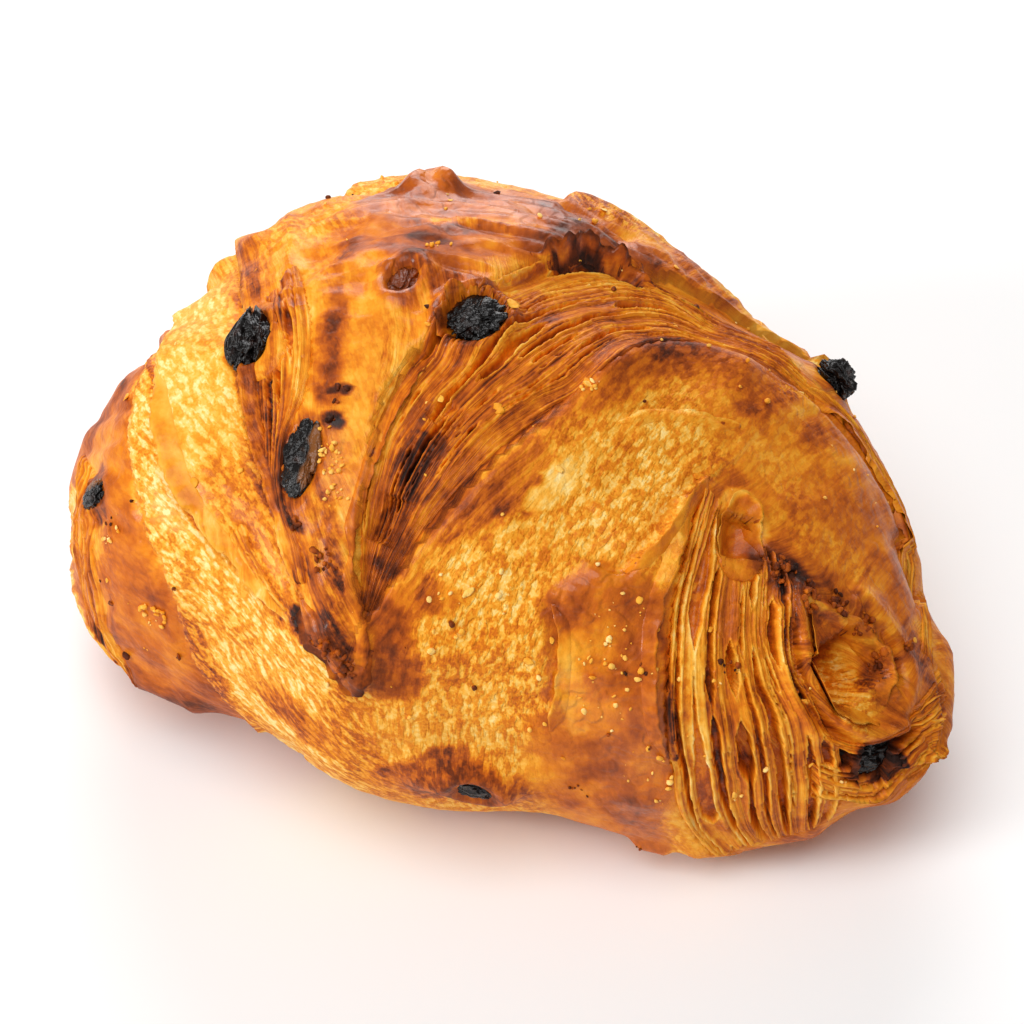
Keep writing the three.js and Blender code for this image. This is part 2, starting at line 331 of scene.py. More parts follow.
def closed_tubes(rings: list[int], sides: int) -> tuple[bmesh.types.BMesh, np.ndarray]:
    """Closed tubes whose ends come to a point, laid out of one grid.

    Args:
        rings: Number of rings in each tube, without its two end points.
        sides: Number of points round each ring.

    Returns:
        The mesh, and for each of its points the tube, the ring (-1 and the number of rings at the end
        points) and the side.
    """
    table = []
    for tube, count in enumerate(rings):
        ring, side = np.mgrid[-1 : count + 1, 0 : sides + 1]
        table.append(np.stack([np.full(ring.size, tube), ring.ravel(), side.ravel()], axis=1))
    counts = np.array(rings)
    table = np.concatenate(table)
    radius = ((table[:, 1] >= 0) & (table[:, 1] < counts[table[:, 0]])).astype(float)
    turn = 2 * math.pi * table[:, 2] / sides
    rise = table[:, 1] + (counts.max() + 4.0) * table[:, 0]
    layout = np.stack([radius * np.cos(turn), radius * np.sin(turn), rise], axis=1)
    mesh = bmesh.new()
    number = mesh.verts.layers.int.new("number")
    rows = len(table) // (sides + 1)
    points = bmesh.ops.create_grid(mesh, x_segments=sides, y_segments=rows - 1, size=1.0)["verts"]
    for i, (point, place) in enumerate(zip(points, layout)):
        point.co = place
        point[number] = i
    between = set()
    for end in np.cumsum(counts + 2)[:-1] * (sides + 1):
        for side in range(sides + 1):
            before, after = points[end - sides - 1 + side], points[end + side]
            between |= set(before.link_faces) & set(after.link_faces)
    bmesh.ops.delete(mesh, geom=list(between), context="FACES_ONLY")
    loose = [edge for edge in mesh.edges if not edge.link_faces]
    bmesh.ops.delete(mesh, geom=loose, context="EDGES")
    bmesh.ops.remove_doubles(mesh, verts=mesh.verts, dist=1e-4)
    kept = np.array([point[number] for point in mesh.verts])
    mesh.verts.layers.int.remove(number)
    return mesh, table[kept]


def roll_places(rings: int, ring: np.ndarray, side: np.ndarray, sides: int) -> np.ndarray:
    """Places for the points of a closed tube that covers the roll from end to end.

    The points crowd towards the side that the photograph shows and towards the cut end.

    Args:
        rings: Number of rings.
        ring: Ring of each point.
        side: Side of each point.
        sides: Number of points round each ring.

    Returns:
        Array (n, 2) of places.
    """
    crowding, crowded_angle, end_crowding = 0.3, 60.0, 0.16
    turn = 360.0 * side / sides
    turn = turn - crowding * np.degrees(np.sin(np.radians(turn - crowded_angle)))
    lean = math.pi * ((ring + 1) / (rings + 1) - 0.5)
    lean = lean + end_crowding * np.cos(lean) ** 2
    return np.stack([ROLL.half_length * np.sin(lean), turn], axis=1)


def roll_mesh(sides: int, rings: int) -> bmesh.types.BMesh:
    """A closed mesh of the plain roll in mm."""
    mesh, table = closed_tubes([rings], sides)
    places = roll_places(rings, table[:, 1], table[:, 2], sides)
    for vertex, point in zip(mesh.verts, ROLL.points(places)):
        vertex.co = point
    return mesh


CASTER = Caster()


def hermite(knots: np.ndarray, values: np.ndarray, wanted: np.ndarray) -> np.ndarray:
    """Smooth curve through rising knots, level beyond its ends."""
    slopes = np.gradient(values, knots)
    wanted = np.clip(wanted, knots[0], knots[-1])
    i = np.clip(np.searchsorted(knots, wanted) - 1, 0, len(knots) - 2)
    span = knots[i + 1] - knots[i]
    f = (wanted - knots[i]) / span
    a, b = 2 * f**3 - 3 * f**2 + 1, f**3 - 2 * f**2 + f
    leaving = a * values[i] + b * span * slopes[i]
    return leaving + (1 - a) * values[i + 1] + (f**3 - f**2) * span * slopes[i + 1]


class Ground:
    """Places with their points, normals and stretch, worked out once for all the features."""

    def __init__(self, places: np.ndarray) -> None:
        """Measures the places.

        Args:
            places: Array (n, 2); the angles may have any whole turn added.
        """
        self.x = places[:, 0]
        self.angle = (places[:, 1] + 90.0) % 360.0 - 90.0
        self.places = np.stack([self.x, self.angle], axis=1)
        self.points = ROLL.points(places)
        self.normals = ROLL.normals(places)
        self.along, self.around = ROLL.stretch(places)
        self.coarse = NOISE.at(self.points, 9.0, 2)
        self.ragged = NOISE.at(self.points, 3.0, 3)
        self.fine = NOISE.at(self.points + 50.0, 1.1, 2)


@dataclass(frozen=True)
class Edge:
    """An edge of a rolled layer that runs round the roll, as places of rising angle."""

    places: Pairs
    raggedness: float = 0.35

    def distance(self, ground: Ground) -> np.ndarray:
        """Signed distance in mm; positive on the side of the cut end."""
        knots, values = np.array(self.places)[:, 1], np.array(self.places)[:, 0]
        here = hermite(knots, values, ground.angle)
        slope = hermite(knots, values, ground.angle + 0.5) - hermite(knots, values, ground.angle - 0.5)
        scale = np.sqrt(1.0 / ground.along**2 + (slope / ground.around) ** 2)
        return (ground.x - here) / scale + self.raggedness * ground.ragged

    def within(self, ground: Ground, margin: float = 8.0) -> np.ndarray:
        """1 inside the edge's range of angles, fading out over a margin at both ends."""
        low, high = self.places[0][1], self.places[-1][1]
        return smooth(ground.angle, low, low + margin) * smooth(ground.angle, high, high - margin)


class Trace:
    """A line over the roll, for a crease, a small lip or a stroke of colour."""

    SPACING = 0.6

    def __init__(self, places: np.ndarray) -> None:
        """Draws a smooth line through the places and samples it evenly.

        Args:
            places: Array (n, 2), in order.
        """
        if len(places) == 1:
            places = np.concatenate([places, places + 0.01])
        knots = np.arange(len(places), dtype=float)
        fine = np.linspace(0.0, knots[-1], 40 * len(places))
        line = np.stack([hermite(knots, places[:, i], fine) for i in (0, 1)], axis=1)
        points = ROLL.points(line)
        run = np.concatenate([[0.0], np.cumsum(np.linalg.norm(np.diff(points, axis=0), axis=1))])
        self.length = run[-1]
        count = max(2, int(self.length / self.SPACING) + 1)
        even = np.linspace(0.0, self.length, count)
        self.places = np.stack([np.interp(even, run, line[:, i]) for i in (0, 1)], axis=1)
        self.points = ROLL.points(self.places)
        self.share = even / max(self.length, 1e-9)
        tangents = unit(np.gradient(self.points, axis=0))
        self.sides = unit(np.cross(ROLL.normals(self.places), tangents))

    def near(self, ground: Ground, reach: float) -> tuple[np.ndarray, ...]:
        """Fields of the points that lie within reach of the line.

        Args:
            ground: The places to measure.
            reach: Largest distance of interest in mm.

        Returns:
            Indices of the points, distance, signed distance (positive on the left) and share along.
        """
        low, high = self.points.min(0) - reach, self.points.max(0) + reach
        inside = np.all((ground.points > low) & (ground.points < high), axis=1)
        chosen = np.nonzero(inside)[0]
        best = np.full(len(chosen), np.inf)
        nearest = np.zeros(len(chosen), int)
        for i, point in enumerate(self.points):
            gap = np.sum((ground.points[chosen] - point) ** 2, axis=1)
            closer = gap < best
            best[closer] = gap[closer]
            nearest[closer] = i
        distance = np.sqrt(best)
        kept = distance < reach
        chosen, nearest, distance = chosen[kept], nearest[kept], distance[kept]
        offset = ground.points[chosen] - self.points[nearest]
        sideways = np.sum(offset * self.sides[nearest], axis=1)
        return chosen, distance, np.sign(sideways) * distance, self.share[nearest]


@lru_cache(maxsize=None)
def photo_trace(pixels: Pairs) -> Trace:
    """Line over the roll through pixels of the photograph."""
    return Trace(CASTER.places(pixels))


@dataclass(frozen=True)
class Raisin:
    """A raisin that stands in for its CAD node, with the same place and size in mm.

    Flesh is how strongly its torn side shows, and pit is the bake of the dough round it.
    """

    node: str
    x: float
    angle: float
    size: tuple[float, float, float]
    turn: float
    height: float
    seed: int
    collar: float = 0.7
    glazed: bool = False
    flatness: float = 0.6
    pointed: float = 0.0
    charred: float = 0.0
    flesh: float = 0.0
    pit: float = 0.72

    def centre(self) -> np.ndarray:
        """Middle of the raisin in mm."""
        place = np.array([[self.x, self.angle]])
        return (ROLL.points(place) + ROLL.normals(place) * self.height)[0]

    def basis(self) -> np.ndarray:
        """The raisin's own three directions, as columns."""
        place = np.array([[self.x, self.angle]])
        normal = ROLL.normals(place)[0]
        around = unit(ROLL.directions(place)[1])[0]
        turn = math.radians(-self.turn)
        cosine, sine = math.cos(turn), math.sin(turn)
        spin = np.array([[cosine, -sine, 0], [sine, cosine, 0], [0, 0, 1]])
        return np.stack([around, np.cross(normal, around), normal], axis=1) @ spin

    def distance(self, points: np.ndarray) -> np.ndarray:
        """About how many mm each point lies outside the raisin's outline, seen from above it."""
        local = (points - self.centre()) @ self.basis()
        radius = np.hypot(local[:, 0] / self.size[0], local[:, 1] / self.size[1]) * 2.0
        far = np.linalg.norm(local, axis=1) > 2.0 * max(self.size)
        return np.where(far, 99.0, (radius - 1.0) * min(self.size[0], self.size[1]) / 2)

    def build(self, finishes: "Finishes") -> bpy.types.Object:
        """Builds and dresses the raisin."""
        mesh = bmesh.new()
        bmesh.ops.create_icosphere(mesh, subdivisions=6, radius=1.0)
        sphere = np.array([vertex.co[:] for vertex in mesh.verts])
        shape = Noise(self.seed)
        bent = sphere * np.array([0.6, 1.0, 1.0])
        bent = bent + 0.35 * np.stack([shape.at(sphere + 3.0 * i, 0.9) for i in range(3)], axis=1)
        folds = np.abs(shape.at(bent, 0.55))
        creases = np.abs(shape.at(bent + 5.0, 0.28, 2))
        pits = smooth(shape.at(bent + 9.0, 0.24), 0.3, 0.7)
        scale = 1.0 - 0.26 * smooth(folds, 0.25, 0.0) - 0.14 * smooth(creases, 0.3, 0.0) - 0.08 * pits
        scale = scale * (0.98 + 0.16 * shape.at(sphere, 1.1))
        char = 0.16 * shape.at(sphere + 13.0, 0.45, 3) + 0.03 * shape.at(sphere, 0.09, 2)
        scale = scale + self.charred * char
        local = sphere * scale[:, None] * np.array(self.size) / 2 * 1.04
        local[:, 1] *= 1.0 - self.pointed * smooth(sphere[:, 0], -0.1, 1.0)
        local[:, 2] *= np.where(sphere[:, 2] > 0, self.flatness, 1.0)
        points = self.centre() + local @ self.basis().T
        piece = object_from(f"{self.node}_skin", mesh, points)
        torn = 1.0 - smooth(sphere[:, 1] + 0.4 * shape.at(sphere, 0.5, 2), 0.65, 0.3)
        carry(piece, {"warm": self.flesh * torn})
        finishes.dress(piece, Finish.GLAZED_RAISIN if self.glazed else Finish.RAISIN)
        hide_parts(self.node)
        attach(piece, "root")
        return piece


RAISINS = (
    Raisin("raisin_1", -33.6, 66, (11, 7, 6.5), 332, 1.6, 21, flatness=0.75, pointed=0.55),
    Raisin("raisin_2", -5, 84, (10, 8, 6.5), 17, 1.6, 22, collar=2.4, flatness=0.45, charred=0.9),
    Raisin("raisin_3", -15.3, 46, (11, 6, 6), 163, 2.0, 23, flatness=0.5, charred=0.6, flesh=0.5, pit=0.8),
    Raisin("raisin_4", 32, 147, (6.5, 6, 6), 30, 1.8, 24, flatness=1.0, charred=0.6),
    Raisin("raisin_5", -50, 26, (7.5, 4, 4), 47, 0.2, 25, collar=0.3, charred=0.6, flesh=0.7),
    Raisin("raisin_6", 66, 23, (7, 6, 5), 70, -3.0, 26, collar=0.0, flatness=0.8, charred=0.5, pit=0.98),
    Raisin("raisin_7", -17.2, 84, (7, 5, 4.5), -11, 2.0, 27, collar=1.4, glazed=True, flatness=0.6),
    Raisin("raisin_8", 17, -14, (8, 6, 5.5), 119, -0.2, 28, collar=1.2, flatness=0.8, charred=0.6),
)


@dataclass(frozen=True)
class Fold:
    """A relief feature along a line of pixels: a raised lip, a groove or a swelling, in mm."""

    pixels: Pairs
    rise: float = 0.0
    reach: float = 6.0
    groove: float = 0.0
    groove_width: float = 1.2
    swell: float = 0.0
    swell_width: float = 4.0

    def heights(self, ground: Ground) -> np.ndarray:
        """Height that the feature adds at each place."""
        trace = photo_trace(self.pixels)
        widest = max(3 * self.reach * (self.rise > 0), 3 * self.groove_width, 2.5 * self.swell_width)
        chosen, distance, signed, share = trace.near(ground, widest)
        ends = smooth(share, 0.0, 0.12) * smooth(share, 1.0, 0.88) if trace.length > 4 else 1.0
        wavy = signed + 0.25 * ground.ragged[chosen]
        lip = self.rise * smooth(wavy, -0.25, 0.35) * np.exp(-np.maximum(wavy, 0.0) / self.reach)
        cut = self.groove * np.exp(-((distance / self.groove_width) ** 2))
        hill = self.swell * np.exp(-((distance / self.swell_width) ** 2))
        heights = np.zeros(len(ground.x))
        heights[chosen] = lip * ends - cut * ends + hill
        return heights


@dataclass(frozen=True)
class Stroke:
    """A stroke of baked colour, painted shade or painted highlight along a line of pixels, with its widths in
    mm.
    """

    pixels: Pairs
    width: float
    bake: float
    strength: float = 0.8
    softness: float = 2.0
    gloss: float | None = None
    mottle: float | None = None
    scorch: float | None = None
    ply: float | None = None


class Painting:
    """The dough's look at each place: bake (with painted shade and highlights), mottle, gloss, scorch, ply,
    each 0 to 1.

    Ply says how strongly the fine lines of the stacked layers show.
    """

    def __init__(self, count: int) -> None:
        """Starts with an even, half-baked dough.

        Args:
            count: Number of places.
        """
        starts = {"bake": 0.55, "mottle": 0.25, "gloss": 0.4, "scorch": 0.0, "ply": 0.1}
        self.values = {name: np.full(count, value) for name, value in starts.items()}

    def lay(self, mask: np.ndarray, **wanted: float | None) -> None:
        """Blends the named looks towards the wanted values by a mask from 0 to 1."""
        for name, value in wanted.items():
            if value is not None:
                self.values[name] += mask * (value - self.values[name])

    def stroke(self, ground: Ground, stroke: Stroke) -> None:
        """Lays one stroke with a slightly uneven border."""
        reach = stroke.width + stroke.softness + 1.5
        chosen, distance, _, _ = photo_trace(stroke.pixels).near(ground, reach)
        uneven = distance + (0.4 + 0.3 * min(stroke.width, 3.0)) * ground.ragged[chosen]
        uneven = uneven + min(0.5, 0.3 * stroke.width) * ground.fine[chosen]
        mask = np.zeros(len(ground.x))
        mask[chosen] = smooth(uneven, stroke.width + stroke.softness, stroke.width)
        self.lay(
            mask * stroke.strength,
            bake=stroke.bake,
            gloss=stroke.gloss,
            mottle=stroke.mottle,
            scorch=stroke.scorch,
            ply=stroke.ply,
        )


DOME_EDGE = Edge(
    (
        (-8, -70), (-14, -46), (-20, -26), (-29, -3), (-33, 13), (-38, 24), (-43.5, 35),
        (-47.5, 46), (-52.5, 61), (-58, 80), (-63, 100), (-66, 130),
    ),
    0.7,
)
LIP_EDGE = Edge(
    (
        (-8, 13), (-13, 15.5), (-21, 21), (-30.5, 29), (-37.5, 38), (-45, 54), (-57, 80), (-61, 112),
        (-64, 140),
    ),
    0.3,
)
TONGUE_LEFT = Edge(
    ((3, 5), (-1, 11), (-9, 23), (-19.5, 38), (-27, 48), (-37.5, 69), (-55, 100), (-60, 132), (-64, 160)),
    0.25,
)
TONGUE_RIGHT = Edge(
    ((3.5, 5), (3, 19), (-2, 34), (-5, 46), (-9, 66), (-6, 92), (-3.5, 110), (4, 125), (14, 140), (30, 158)),
    0.3,
)
FAN_BOTTOM = Edge(
    ((1, 20), (2, 25), (5, 42), (8, 57), (12, 76), (13.5, 93), (19, 109), (34, 121), (52, 135)),
    0.3,
)
CUT_END_LEFT = Edge(
    ((50, -50), (44, -4), (40, 20), (37, 40), (35, 50), (34.5, 60), (32, 74), (34, 90)),
    0.3,
)
BACK_LEFT = Edge(((-50, 120), (-44, 152), (-38, 180), (-34, 212), (-30, 235)), 0.6)
BACK_MIDDLE = Edge(((-16, 128), (-12, 152), (-6, 180), (-2, 214), (0, 240)), 0.5)
BACK_RIGHT = Edge(((26, 148), (27, 172), (30, 196), (34, 220), (36, 240)), 0.6)
COIL_RING = ((794, 590), (800, 640), (812, 680), (836, 716), (872, 737), (898, 724))
COIL_GROOVE = ((790, 612), (794, 660), (806, 700), (830, 730), (862, 746))
COIL_SLIT = ((880, 628), (894, 656), (898, 690))


class Relief:
    """Height of the dough's surface over the roll's plain form."""

    FOLDS = (
        # Pinch under the fan, and the deep gaps between its layers
        Fold(((378, 545), (388, 520), (398, 495)), groove=2.2, groove_width=1.8),
        Fold(((430, 420), (445, 408), (455, 400)), groove=1.4, groove_width=1.0),
        # Torn gap along the fan's top
        Fold(((556, 250), (590, 242), (622, 247), (658, 263)), groove=2.6, groove_width=1.1),
        # Brown swelling beside the fan, with a thin edge under it
        Fold(((600, 372), (640, 352), (690, 348), (735, 368)), swell=1.7, swell_width=3.6),
        Fold(
            ((735, 430), (690, 413), (650, 410), (615, 424)),
            rise=0.5, reach=5, groove=0.5, groove_width=0.7,
        ),
        # Overlapping lip in the middle, and the crease in the glossy crust
        Fold(
            ((715, 470), (690, 490), (660, 530), (640, 552), (622, 572), (604, 570), (588, 553)),
            rise=1.5, reach=6, groove=0.7, groove_width=1.0,
        ),
        Fold(((552, 600), (558, 640), (557, 672), (560, 700)), groove=0.7, groove_width=1.6),
        # Oval hollow, the coiled end's hollow with its ridges, and the hole of the lowest raisin
        Fold(((741, 515), (741, 538), (741, 560)), groove=3.4, groove_width=2.8),
        Fold(((828, 640), (846, 672), (862, 700)), groove=7.5, groove_width=3.8),
        Fold(COIL_RING, swell=2.3, swell_width=1.5),
        Fold(((806, 600), (842, 618), (878, 650), (892, 694)), swell=1.5, swell_width=0.9),
        Fold(((862, 600), (892, 634), (908, 670), (905, 700)), swell=1.5, swell_width=2.0),
        Fold(COIL_SLIT, groove=1.2, groove_width=0.7),
        Fold(((778, 610), (783, 660), (796, 705), (822, 738), (858, 752)), swell=1.3, swell_width=1.0),
        Fold(COIL_GROOVE, groove=1.2, groove_width=0.7),
        Fold(((860, 770), (894, 764)), groove=5.5, groove_width=2.8),
        # Folds of the far dome
        Fold(((84, 470), (110, 468), (140, 482)), groove=0.5, groove_width=1.3),
        Fold(((84, 452), (112, 440), (134, 436)), groove=0.6, groove_width=1.2, swell=0.3),
        Fold(((96, 420), (118, 412), (136, 408)), groove=0.4, groove_width=1.2),
        Fold(((88, 520), (112, 520), (140, 540)), groove=0.6, groove_width=1.4),
        # Wrinkles of the glazed top
        Fold(((430, 235), (470, 224), (520, 226), (560, 236)), swell=0.8, swell_width=1.5),
        Fold(((440, 262), (480, 250), (530, 252)), swell=0.7, swell_width=1.5),
        Fold(((400, 232), (420, 226), (445, 236), (460, 250)), groove=0.6, groove_width=0.7),
        Fold(((355, 250), (380, 226), (410, 205), (440, 192)), swell=0.9, swell_width=2.2),
        Fold(((290, 222), (292, 260), (290, 300)), swell=0.7, swell_width=1.4),
        Fold(((305, 240), (340, 222), (380, 208)), swell=0.6, swell_width=2.5),
        # Brown patch round the low raisin
        Fold(((430, 775), (470, 768), (505, 785)), swell=1.5, swell_width=3.2),
        Fold(((640, 852), (662, 853)), swell=1.6, swell_width=1.6),
        # Crumbly patch and burnt tip on the tongue
        Fold(((345, 520), (338, 560), (345, 600)), swell=0.8, swell_width=2.4),
        Fold(((330, 635), (348, 655), (358, 668)), swell=1.5, swell_width=2.2),
        # Rim of the smooth crust on the right
        Fold(((800, 385), (840, 425), (872, 470), (898, 520), (910, 570)), rise=1.0, reach=5, groove=0.6),
        Fold(((775, 440), (800, 418), (822, 414)), rise=0.4, reach=5, groove=0.3, groove_width=0.6),
        # Peak on the skyline, and the folds that bulge out under the cut end
        Fold(((414, 192), (432, 186), (448, 190)), swell=3.0, swell_width=2.2),
        Fold(((328, 198), (360, 190), (402, 188)), groove=2.0, groove_width=4.5),
        Fold(((556, 204), (600, 214), (644, 234)), groove=1.5, groove_width=4.0),
        Fold(((700, 852), (730, 848), (770, 838), (806, 834)), swell=2.3, swell_width=4.0),
        Fold(((944, 655), (948, 685), (944, 725)), swell=2.0, swell_width=3.6),
        Fold(((880, 796), (902, 788), (922, 772)), swell=1.3, swell_width=3.0),
        Fold(((905, 540), (912, 570), (925, 605)), groove=1.8, groove_width=4.0),
        Fold(((146, 694), (186, 706)), swell=2.2, swell_width=5.0),
        Fold(((262, 725), (310, 765)), groove=0.9, groove_width=5.0),
        Fold(((73, 480), (78, 440)), swell=1.0, swell_width=4.0),
        Fold(((78, 580), (90, 640)), swell=0.9, swell_width=5.0),
        # Steps of the pale bands on the left skyline
        Fold(((222, 262), (240, 250), (256, 250)), swell=2.2, swell_width=3.0),
        Fold(((158, 332), (166, 328)), swell=2.6, swell_width=2.2),
        Fold(((176, 314), (194, 296), (212, 274)), groove=3.2, groove_width=3.0),
    )

    def heights(self, ground: Ground) -> np.ndarray:
        """Heights at places.

        Args:
            ground: The measured places.

        Returns:
            Array of heights in mm.
        """
        height = self._wraps(ground) + self._beds(ground) + self._skins(ground)
        for fold in self.FOLDS:
            height += fold.heights(ground)
        for raisin in RAISINS:
            away = raisin.distance(ground.points)
            height += raisin.collar * np.exp(-(((away - 0.6) / 1.3) ** 2))
            if raisin.height > 1.0:
                height += smooth(away, 0.0, -1.2) * (0.2 - height)
        height += 0.3 * ground.coarse + 0.05 * ground.ragged
        return height * self._clear_of_base(ground)

    @staticmethod
    def _skins(ground: Ground) -> np.ndarray:
        """Wrinkles of the glazed skins, and long soft folds of the pale ones."""
        points = ground.points
        tongue = smooth(TONGUE_LEFT.distance(ground), 4.0, 8.0)
        tongue = tongue * smooth(TONGUE_RIGHT.distance(ground), -0.5, -3.0)
        glazed = tongue * smooth(ground.angle, 66, 78)
        wrinkle = 1.0 - 2.0 * np.abs(NOISE.at(drawn_out(points, 25.0, 11.0, 3.2), 1.0, 2))
        dome = smooth(DOME_EDGE.distance(ground), -0.5, -3.0)
        pleat = 1.0 - 2.0 * np.abs(NOISE.at(drawn_out(points, 78.0, 16.0, 4.2), 1.0, 1))
        swell = NOISE.at(drawn_out(points, 60.0, 22.0, 7.0), 1.0, 2)
        right = smooth(FAN_BOTTOM.distance(ground), 0.0, 5.0)
        return 0.55 * glazed * wrinkle + 0.35 * dome * pleat + 0.45 * right * swell

    @staticmethod
    def _clear_of_base(ground: Ground) -> np.ndarray:
        """0 on the flat underside, which stays flat, and 1 above it."""
        return smooth(ground.points[:, 2], 0.0, 5.0)

    @staticmethod
    def _lip(edge: Edge, ground: Ground, rise: float, reach: float, crease: float) -> np.ndarray:
        """Layer that starts at an edge with a step and settles towards the cut end."""
        distance = edge.distance(ground)
        step = rise * smooth(distance, -0.35, 0.35) * np.exp(-np.maximum(distance, 0.0) / reach)
        cut = crease * np.exp(-(((distance + 0.5) / 0.9) ** 2))
        return (step - cut) * edge.within(ground)

    def _wraps(self, ground: Ground) -> np.ndarray:
        """Steps of the rolled layers all round the roll."""
        skyline = smooth(ground.angle, 50.0, 85.0)
        height = self._lip(DOME_EDGE, ground, 1.2, 10.0, 0.4)
        height += self._lip(LIP_EDGE, ground, 1.5, 10.0, 0.7) * (1.0 + 0.9 * skyline)
        height += self._lip(BACK_LEFT, ground, 1.8, 12.0, 0.5)
        height += self._lip(BACK_MIDDLE, ground, 1.8, 12.0, 0.5)
        height += self._lip(BACK_RIGHT, ground, 1.6, 12.0, 0.5)
        left, right = TONGUE_LEFT.distance(ground), -TONGUE_RIGHT.distance(ground)
        inner = np.minimum(left, right)
        shown = TONGUE_LEFT.within(ground, 3.0)
        step = (0.9 + 0.9 * skyline) * smooth(inner, -0.35, 0.35)
        height += shown * (step + 0.9 * smooth(inner, 0.0, 9.0))
        height -= shown * 0.6 * np.exp(-(((left + 0.5) / 0.8) ** 2))
        early = ground.angle + 30.0 * smooth(ground.x, -22.0, -40.0)
        settled = 3.0 * smooth(early, 88.0, 106.0)
        settled += smooth(ground.x, -10.0, 2.0) * smooth(ground.angle, 106.0, 122.0)
        return height - settled * smooth(ground.angle, 205.0, 160.0) * smooth(ground.x, 29.0, 16.0)

    @staticmethod
    def fan_bed(ground: Ground) -> np.ndarray:
        """How fully a place lies in the bed of the main fan, from 0 to 1."""
        inner = np.minimum(TONGUE_RIGHT.distance(ground), -FAN_BOTTOM.distance(ground))
        return smooth(inner, -0.2, 1.2) * smooth(ground.angle, 22, 30) * smooth(ground.angle, 138, 126)

    @staticmethod
    def cut_bed(ground: Ground) -> np.ndarray:
        """How fully a place lies in the bed of the cut end's layers, from 0 to 1."""
        inner = CUT_END_LEFT.distance(ground)
        shown = smooth(ground.angle, -52, -44) * smooth(ground.angle, 92, 80)
        return smooth(inner, 0.0, 1.0) * shown

    def _beds(self, ground: Ground) -> np.ndarray:
        """Sunken beds in which the flaky layers stand."""
        fan = 0.5 * self.fan_bed(ground)
        beside = FAN_BOTTOM.distance(ground)
        swell = 0.9 * smooth(beside, -0.3, 1.0) * np.exp(-np.maximum(beside, 0) / 9)
        return swell * FAN_BOTTOM.within(ground) - fan - 0.4 * self.cut_bed(ground)


RELIEF = Relief()


def paint(ground: Ground) -> dict[str, np.ndarray]:
    """The dough's baked look at each place, with painted shade and highlights in places."""
    painting = Painting(len(ground.x))
    lay_regions(ground, painting)
    for stroke in STROKES:
        painting.stroke(ground, stroke)
    for raisin in RAISINS:
        around = smooth(raisin.distance(ground.points) + 0.3 * ground.ragged, 1.8, 0.3)
        painting.lay(0.7 * around, bake=raisin.pit, mottle=0.2)
    values = painting.values
    values["bake"] = values["bake"] + 0.04 * ground.coarse + 0.015
    return {name: np.clip(value, 0.0, 1.0) for name, value in values.items()}


def lay_regions(ground: Ground, painting: Painting) -> None:
    """Lays the broad looks of the rolled layers, round the whole roll."""
    dome, lip = DOME_EDGE.distance(ground), LIP_EDGE.distance(ground)
    left, right = TONGUE_LEFT.distance(ground), TONGUE_RIGHT.distance(ground)
    fan, cut = FAN_BOTTOM.distance(ground), CUT_END_LEFT.distance(ground)
    front = smooth(ground.angle, -75, -60) * smooth(ground.angle, 175, 150)
    painting.lay(np.ones(len(ground.x)), bake=0.58, gloss=0.4, mottle=0.15)
    painting.lay(front * smooth(dome, -0.3, 0.3), bake=0.2, gloss=0.12, mottle=1.0)
    above = front * smooth(ground.angle, 8, 14)
    painting.lay(above * smooth(lip, -0.3, 0.3), bake=0.22, gloss=0.15, mottle=0.7)
    painting.lay(above * smooth(left, -0.3, 0.3), bake=0.36, gloss=0.45, mottle=0.25, ply=0.5)
    beyond = front * smooth(right, -0.3, 0.5) * smooth(ground.angle, 0, 20)
    painting.lay(beyond, bake=0.56, gloss=0.2, mottle=0.1, ply=1.0)
    lower = front * smooth(fan, -0.3, 0.8) * smooth(ground.x, -2, 6)
    painting.lay(lower, bake=0.36, gloss=0.2, mottle=0.8, ply=0.2)
    painting.lay(front * smooth(cut, -0.5, 0.5), bake=0.56, gloss=0.3, mottle=0.15, ply=0.5)
    for edge in (BACK_LEFT, BACK_MIDDLE, BACK_RIGHT):
        distance = edge.distance(ground)
        band = smooth(distance, -0.3, 0.3) * smooth(distance, 13.0, 9.0) * edge.within(ground)
        painting.lay(band, bake=0.26, gloss=0.15, mottle=0.9)
    edges = (DOME_EDGE, LIP_EDGE, TONGUE_LEFT, FAN_BOTTOM, BACK_LEFT, BACK_MIDDLE, BACK_RIGHT)
    for edge in edges:
        distance, shown = edge.distance(ground), edge.within(ground)
        # Under each edge's lip the dough is darkened: painted shade, with some browning; just past the edge
        # it is lighter and golden.
        under = smooth(distance, -1.8, -0.3) * smooth(distance, 0.2, -0.2)
        over = smooth(distance, -0.2, 0.2) * smooth(distance, 1.4, 0.5)
        painting.lay(0.45 * under * shown, bake=0.68)
        painting.lay(0.5 * over * shown, bake=0.3)
    underside = smooth(ground.points[:, 2], 6.0, 1.0)
    painting.lay(underside, bake=0.68, gloss=0.05, mottle=0.35, ply=0.0)


